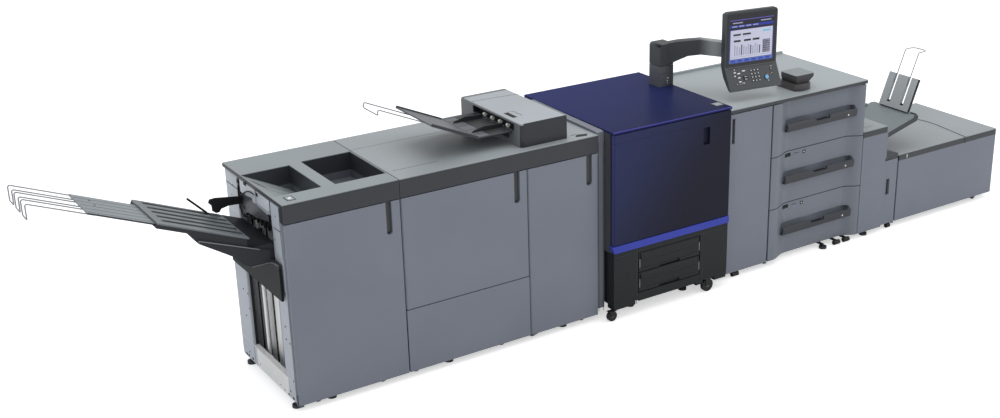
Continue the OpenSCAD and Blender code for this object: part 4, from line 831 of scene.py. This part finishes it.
# upright joints on the docking frame, then the bare plate on the engine's cover
dock = {"joints": (((1744.6, 13.3, 44), (1747.4, 14.4, 1010)), ((1774.6, 13.3, 44), (1777.4, 14.4, 1010))),
        "plate": ((2512, -18, 1073.6), (2578, 48, 1074.9)), "plateSoft": 0.4,
        "face": ((2522, -8, 1074.5), (2568, 38, 1075.6)), "faceSoft": 0.3}


def engineMarks(s):
    bm = bmesh.new()
    addBoxes(bm, s["joints"])
    finishPiece("dockJoints", bm, "seamDark", "machine")
    bm = bmesh.new()
    addBox(bm, *s["plate"], soft=s["plateSoft"])
    addBox(bm, *s["face"], mat=1, soft=s["faceSoft"])
    finishPiece("engineBadge", bm, "seamDark paleTop", "machine")


engineMarks(dock)

# small lamps and a joint on the panel's column; lamps in x and z
column = {"lamps": ((2538, 1123), (2538, 1107), (2538, 1094), (2548, 1121)), "lampY": 455.4, "lampR": 2.6,
          "lampHigh": 1.6, "joint": ((2486, 455.2, 1150), (2580, 456.3, 1152))}


def columnLamps(s):
    bm = bmesh.new()
    for x, z in s["lamps"]:
        addDisc(bm, (x, s["lampY"], z), s["lampR"], s["lampHigh"], "Y", soft=0.4, steps=12)
    addBox(bm, *s["joint"], mat=1)
    finishPiece("columnLamps", bm, "markWhite seamDark", "machine")


columnLamps(column)
print("engine fitted")

# the screen's bezel and lit glass, as x, z, x, z
screen = {"lit": (-144, 18, 146, 267), "litDepth": (-0.2, 0.9), "bezel": (-163, -2, 165, 300),
          "bezelDepth": (-0.5, 0.4)}


def addBlock(bm, span, depth, mat=0):
    x0, z0, x1, z1 = span
    addBox(bm, (x0, depth[0], z0), (x1, depth[1], z1), mat=mat)


def screenFrame(s):
    x0, z0, x1, z1 = s["lit"]
    left, foot, right, top = s["bezel"]
    bm = bmesh.new()
    for span in ((left, foot, x0, top), (x1, foot, right, top), (x0, z1, x1, top), (x0, foot, x1, z0)):
        addBlock(bm, span, s["bezelDepth"])
    addBlock(bm, s["lit"], s["litDepth"], mat=1)
    finishPiece("screenFrame", bm, "panelDark screenGlass", "panel", panelFrame)


screenFrame(screen)

# plain areas, blocks and bars on the screen, as x, z, x, z and the finish's place in kinds
content = {
    "kinds": "screenInk screenPale screenGrey screenLine screenSky screenCyan edgeViolet bandBlue",
    "areas": ((-144, 262, 146, 267, 6), (-144, 236, 146, 262, 0), (-144, 222, 146, 236, 7),
              (-144, 210, 146, 222, 0), (-138, 42, 141, 208, 1), (-144, 22, 146, 38, 4)),
    "areaDepth": (-0.4, 0.2),
    "blocks": ((-120, 176, -71, 186, 0), (-58, 176, -5, 186, 0), (-116, 140, -71, 151, 0),
               (-49, 140, -3, 151, 0), (9, 140, 54, 151, 0), (77, 62, 126, 137, 2), (75, 184, 126, 194, 5),
               (-120, 168, -80, 170, 3), (-58, 168, -20, 170, 3), (-128, 52, 132, 54, 3),
               (-126, 246, -60, 252, 3), (60, 246, 130, 252, 3)),
    "blockDepth": (-0.6, 0.1),
    "bar": (-112, 62, 8), "bars": 12, "barPitch": 15, "barTops": (122, 115, 108), "barKinds": (3, 3, 3, 2),
    "row": (80, 66, 123, 74, 1), "rows": 6, "rowPitch": 12,
    "tab": (-134, 26, -104, 34, 7), "tabs": 6, "label": (-130, 226, -96, 232, 3), "labels": 4, "tabPitch": 46}


def repeated(block, count, x=0, z=0):
    x0, z0, x1, z1, mat = block
    return [(x0 + i * x, z0 + i * z, x1 + i * x, z1 + i * z, mat) for i in range(count)]


def screenContent(s):
    blocks = list(s["blocks"])
    blocks += repeated(s["row"], s["rows"], z=s["rowPitch"])
    blocks += repeated(s["tab"], s["tabs"], x=s["tabPitch"])
    blocks += repeated(s["label"], s["labels"], x=s["tabPitch"])
    x, z, wide = s["bar"]
    for i in range(s["bars"]):
        left = x + i * s["barPitch"]
        top = s["barTops"][i % len(s["barTops"])]
        blocks.append((left, z, left + wide, top, s["barKinds"][i % len(s["barKinds"])]))
    bm = bmesh.new()
    for shapes, depth in ((s["areas"], s["areaDepth"]), (blocks, s["blockDepth"])):
        for *span, mat in shapes:
            addBlock(bm, span, depth, mat)
    finishPiece("screenContent", bm, s["kinds"], "panel", panelFrame)


screenContent(content)

# marks on the keys and lamps beside them, in the keys' own plane;
# a lamp has x, y and finish, a bar x, y and width
keys = {
    "start": (86, -14, 4.5), "startR": 12, "startHigh": 1.6,
    "lamps": ((131, 45, 0), (128, 31, 0), (96, 1.5, 2), (114, 1, 2), (94, -34, 0), (-113, 52, 0)),
    "lampZ": 0.5, "lampR": 2.8, "lampHigh": 1.4,
    "bars": ((-114, 36, 13), (-93, 4, 15), (-92, -20, 15), (-90, 28, 18), (-55, 40, 20), (-118, 16, 9),
             (-72, -30, 16)),
    "barHalf": 3, "barHeight": (-0.3, 0.8),
    "pad": ((-68, -14, -0.3), (-34, 10, 2.2)), "padSoft": 0.8,
    "padLines": (((-60, 3.8, 2.0), (-42, 6.2, 2.6)), ((-60, -10.2, 2.0), (-42, -7.8, 2.6))),
    "padKey": (-8, 36), "padPitch": (22, -20), "padKeys": (3, 4),
    "across": ((-3.2, -1.4, 2.8), (3.2, 1.4, 3.5)), "upright": ((-1.2, -3.8, 2.8), (1.2, 3.0, 3.4)),
    "lowMark": ((-121, -35, 1.8), (-115, -33, 2.6)), "lowMarks": 3,
    "sideMark": ((121, 5, 2.8), (127, 7, 3.6)), "sideMarks": 2, "markPitch": 24,
    "crease": ((-150, 58, -0.3), (150, 60, 0.5))}


def panelKeys(s):
    bm = bmesh.new()
    addDisc(bm, s["start"], s["startR"], s["startHigh"], "Z", mat=1, soft=0.5, steps=32)
    for x, y, mat in s["lamps"]:
        addDisc(bm, (x, y, s["lampZ"]), s["lampR"], s["lampHigh"], "Z", mat=mat, soft=0.4, steps=12)
    z0, z1 = s["barHeight"]
    for x, y, wide in s["bars"]:
        addBox(bm, (x - wide / 2, y - s["barHalf"], z0), (x + wide / 2, y + s["barHalf"], z1))
    addBox(bm, *s["pad"], mat=3, soft=s["padSoft"])
    addBoxes(bm, s["padLines"])
    for i in range(s["padKeys"][0]):
        for j in range(s["padKeys"][1]):
            x = s["padKey"][0] + i * s["padPitch"][0]
            y = s["padKey"][1] + j * s["padPitch"][1]
            addBoxes(bm, (moved(s["across"], x, y), moved(s["upright"], x, y)))
    addBoxes(bm, [moved(s["lowMark"], x=i * s["markPitch"]) for i in range(s["lowMarks"])])
    addBoxes(bm, [moved(s["sideMark"], y=i * s["markPitch"]) for i in range(s["sideMarks"])])
    addBox(bm, *s["crease"], mat=3)
    finishPiece("keyMarks", bm, "markWhite startBlue markRed holeBlack", "panel", keyFrame)


panelKeys(keys)
print("panel fitted")

# bars, dots and latches of the feeder's drawers; z from each drawer's foot, and from its top for the latch
drawers = {
    "feet": {"drawer_top": 803.0, "drawer_mid": 483.5, "drawer_low": 161.5},
    "bars": (((3112, 14.5, 53), (3290, 18.5, 54.6)), ((3408, 14.5, 53), (3574, 18.5, 54.6))), "barSoft": 0.4,
    "dot": (3560, 10.6, 25), "dotR": 5.5, "dotHigh": 1.6,
    "lock": ((3086, 9, 16), (3100, 13, 46)), "lockSoft": 1.5, "gripShade": ((3302, 24, 34), (3402, 36, 37)),
    "latched": ("drawer_mid", "drawer_low"), "top": 192,
    "latchBack": ((3090.5, 55.4, -33), (3142.5, 57, -11)), "latch": ((3094, 49.4, -30), (3122, 53, -14)),
    "gauge": ((3159, 49, -43), (3283, 50.3, -10)), "gaugeWindow": ((3236, 48.2, -34), (3258, 49.6, -14)),
    "gaugeDot": (3247, 48.0, -24), "gaugeDotR": 4, "gaugeDotHigh": 1.2,
    "gaugeLine": ((3168, 48.4, -22), (3206, 49.4, -18))}


def drawerBar(s, body, foot):
    bm = bmesh.new()
    addBoxes(bm, [moved(bar, z=foot) for bar in s["bars"]], soft=s["barSoft"])
    x, y, z = s["dot"]
    addDisc(bm, (x, y, foot + z), s["dotR"], s["dotHigh"], "Y", mat=1, soft=0.4)
    addBox(bm, *moved(s["lock"], z=foot), mat=2, soft=s["lockSoft"])
    addBox(bm, *moved(s["gripShade"], z=foot), mat=3)
    finishPiece(body + "_bar", bm, "shadeGrey markWhite columnGrey holeBlack", body)


def drawerLatch(s, body, top):
    bm = bmesh.new()
    addBox(bm, *moved(s["latchBack"], z=top))
    addBox(bm, *moved(s["latch"], z=top), soft=1)
    addBox(bm, *moved(s["gauge"], z=top), mat=1, soft=0.4)
    addBox(bm, *moved(s["gaugeWindow"], z=top), soft=0.5)
    x, y, z = s["gaugeDot"]
    addDisc(bm, (x, y, top + z), s["gaugeDotR"], s["gaugeDotHigh"], "Y", mat=2, soft=0.3, steps=16)
    addBox(bm, *moved(s["gaugeLine"], z=top), mat=3)
    finishPiece(body + "_latch", bm, "holeBlack drawerPaint markWhite seamDark", body)


for body, foot in drawers["feet"].items():
    drawerBar(drawers, body, foot)
    if body in drawers["latched"]:
        drawerLatch(drawers, body, foot + drawers["top"])
print("drawers fitted")

# the white dot on the bin's rim and the joint of its lids, which bows to the right over a straight step
lids = {
    "dot": ((4101, 15.8, 448), (4107, 17.2, 470)), "dotSoft": 0.8,
    "step": ((4646, 18, 479.5), (4658, 738, 481.5)), "seamZ": 481.4, "seamR": 2.6,
    "seam": ((4676, 735), (4672, 620), (4665, 443), (4676, 408), (4683, 326), (4667, 213), (4650, 100),
             (4640, 36), (4639, 19)),
    "drop": ((4637, 15.4, 440), (4640, 18, 480))}


def lidMarks(s):
    bm = bmesh.new()
    addBox(bm, *s["dot"], soft=s["dotSoft"])
    finishPiece("rimDot", bm, "markWhite", "machine")
    bm = bmesh.new()
    addBox(bm, *s["step"], mat=1)
    addTube(bm, [(x, y, s["seamZ"]) for x, y in s["seam"]], s["seamR"])
    addBox(bm, *s["drop"])
    finishPiece("lidJoint", bm, "seamDark paleTop", "machine")


lidMarks(lids)

# dark edge strip of the bypass tray with its rounded end; the strip's heights are from the tray's slope
bypass = {
    "hinge": (3898, 614), "slope": 14, "strip": ((3902, -28), (4204, -28), (4214, -12), (4212, 2), (3902, 1)),
    "depth": (48.5, 52.6), "endR": 7,
    "end": ((4188, 55, 687), (4207, 57, 692), (4217, 72, 694), (4219, 100, 694), (4218, 118, 693))}


def bypassEdge(s):
    hingeX, hingeZ = s["hinge"]
    rise = math.tan(math.radians(s["slope"]))
    bm = bmesh.new()
    addPlate(bm, [(x, hingeZ + z + (x - hingeX) * rise) for x, z in s["strip"]], s["depth"], plane="XZ")
    addTube(bm, s["end"], s["endR"])
    finishPiece("bypassEdge", bm, "columnGrey", "machine")


bypassEdge(bypass)

# dark channels of the bypass tray's support: black sheets as their floors, painted as shade, along its slope
support = {"channel": ((31, 0.3, 0.6), (216, 1.4, 19.4)), "foot": ((30.4, 1, 0.6), (44, 25, 12)),
           "channels": (53, 165), "front": ((2, -0.9, 0.5), (216, 0.1, 19.5))}


def supportSlots(s):
    bm = bmesh.new()
    for y in s["channels"]:
        addBoxes(bm, (moved(s["channel"], y=y), moved(s["foot"], y=y)))
    addBox(bm, *s["front"])
    finishPiece("supportSlots", bm, "holeBlack", "machine", supportFrame)


supportSlots(support)

# plates, screws and cooling slits at the back; each plate's x span, back wall and z span
rear = {
    "plates": ((20, 576, 723, 90, 930), (600, 1156, 723, 90, 930), (1168, 1724, 723, 90, 930),
               (2594, 3682, 765, 90, 970), (4046, 4930, 740, 80, 420)),
    "depth": (-0.4, 1.6), "soft": 0.6, "inset": 20, "screwR": 5, "screwHigh": 1.8, "screwY": 2.2,
    "slit": ((60, 1.2, 60), (200, 1.9, 66)), "slits": 10, "slitPitch": 14}


def rearPanels(s):
    bm = bmesh.new()
    for x0, x1, y, low, high in s["plates"]:
        addBox(bm, (x0, y + s["depth"][0], low), (x1, y + s["depth"][1], high), soft=s["soft"])
        for x in (x0 + s["inset"], (x0 + x1) / 2, x1 - s["inset"]):
            for z in (low + s["inset"], high - s["inset"]):
                spot = (x, y + s["screwY"], z)
                addDisc(bm, spot, s["screwR"], s["screwHigh"], "Y", mat=1, soft=0.5, steps=16)
        addBoxes(bm, [moved(s["slit"], x0, y, low + i * s["slitPitch"]) for i in range(s["slits"])], mat=2)
    finishPiece("rearPanels", bm, "housingPaint footSteel holeBlack", "machine")


rearPanels(rear)
print("bin, bypass tray and back fitted")

# floor, sky and four soft lamps; each lamp's place, target, size and power in metres and watts
studio = {
    "floorSize": 70.0, "floorDrop": 0.0005, "floorShade": (236, 236, 238), "floorGlow": 0.55,
    "skyLevel": 0.62,
    "lamps": {"topLight": ((0.5, 0.5, 7.0), (0.5, 0.3, 0.5), 7.0, 215.0),
              "keyLight": ((-3.5, -6.0, 6.5), (0, 0, 0.5), 5.0, 32.0),
              "fillLight": ((5.0, -5.0, 4.5), (0.5, 0, 0.6), 5.0, 84.0),
              "sideLight": ((-7.0, 0.4, 1.1), (-2.0, 0, 0.5), 4.0, 60.0)}}


def layFloor(s):
    mesh = bpy.data.meshes.new("floor")
    bm = bmesh.new()
    bmesh.ops.create_grid(bm, x_segments=1, y_segments=1, size=s["floorSize"] / 2,
                          matrix=Matrix.Translation((0, 0, -s["floorDrop"])))
    bm.to_mesh(mesh)
    bm.free()
    floor = bpy.data.objects.new("floor", mesh)
    bpy.context.scene.collection.objects.link(floor)
    # seen by the camera, the floor glows a little, so the shadow on it stays light
    paint = finish("floorPaint", s["floorShade"], 0.9, bump=0.0, mottle=0.0, spec=0.1)
    tree = paint.node_tree
    shader = tree.nodes["Principled BSDF"]
    shader.inputs["Emission Color"].default_value = (1, 1, 1, 1)
    path = tree.nodes.new("ShaderNodeLightPath")
    glow = spread(tree, path.outputs["Is Camera Ray"], toSpan=(0.0, s["floorGlow"]))
    tree.links.new(glow, shader.inputs["Emission Strength"])
    mesh.materials.append(paint)


def hangSky(s):
    # the sky is white to the camera and softer as light
    world = bpy.data.worlds.new("studio")
    bpy.context.scene.world = world
    world.use_nodes = True
    tree = world.node_tree
    sky = tree.nodes["Background"]
    sky.inputs["Color"].default_value = (1, 1, 1, 1)
    path = tree.nodes.new("ShaderNodeLightPath")
    level = spread(tree, path.outputs["Is Camera Ray"], toSpan=(s["skyLevel"], 1.0))
    tree.links.new(level, sky.inputs["Strength"])


def hangLamps(s):
    for name, (spot, target, size, power) in s["lamps"].items():
        light = bpy.data.lights.new(name, "AREA")
        light.size = size
        light.energy = power
        lamp = bpy.data.objects.new(name, light)
        bpy.context.scene.collection.objects.link(lamp)
        lamp.location = spot
        lamp.rotation_euler = (Vector(target) - Vector(spot)).to_track_quat("-Z", "Y").to_euler()


layFloor(studio)
hangSky(studio)
hangLamps(studio)

# camera, as place and turn in the drawing's millimetres and degrees
shot = {"position": (-2185.8, -5596.1, 3310.9), "yaw": 35.68, "pitch": 21.19, "lens": 50.118, "sensor": 36,
        "shiftX": -0.11345, "shiftY": -0.00276, "far": 200}


def placeCamera(s):
    yaw, pitch = math.radians(s["yaw"]), math.radians(s["pitch"])
    forward = Vector((math.sin(yaw) * math.cos(pitch), math.cos(yaw) * math.cos(pitch), -math.sin(pitch)))
    data = bpy.data.cameras.new("camera")
    data.lens = s["lens"]
    data.sensor_width = s["sensor"]
    data.sensor_fit = "HORIZONTAL"
    data.shift_x = s["shiftX"]
    data.shift_y = s["shiftY"]
    data.clip_end = s["far"]
    camera = bpy.data.objects.new("camera", data)
    bpy.context.scene.collection.objects.link(camera)
    camera.location = toFrame @ Vector(s["position"])
    camera.rotation_euler = forward.to_track_quat("-Z", "Y").to_euler()
    bpy.context.scene.camera = camera


placeCamera(shot)
bpy.context.scene.view_settings.view_transform = "Standard"
print("studio and camera set")
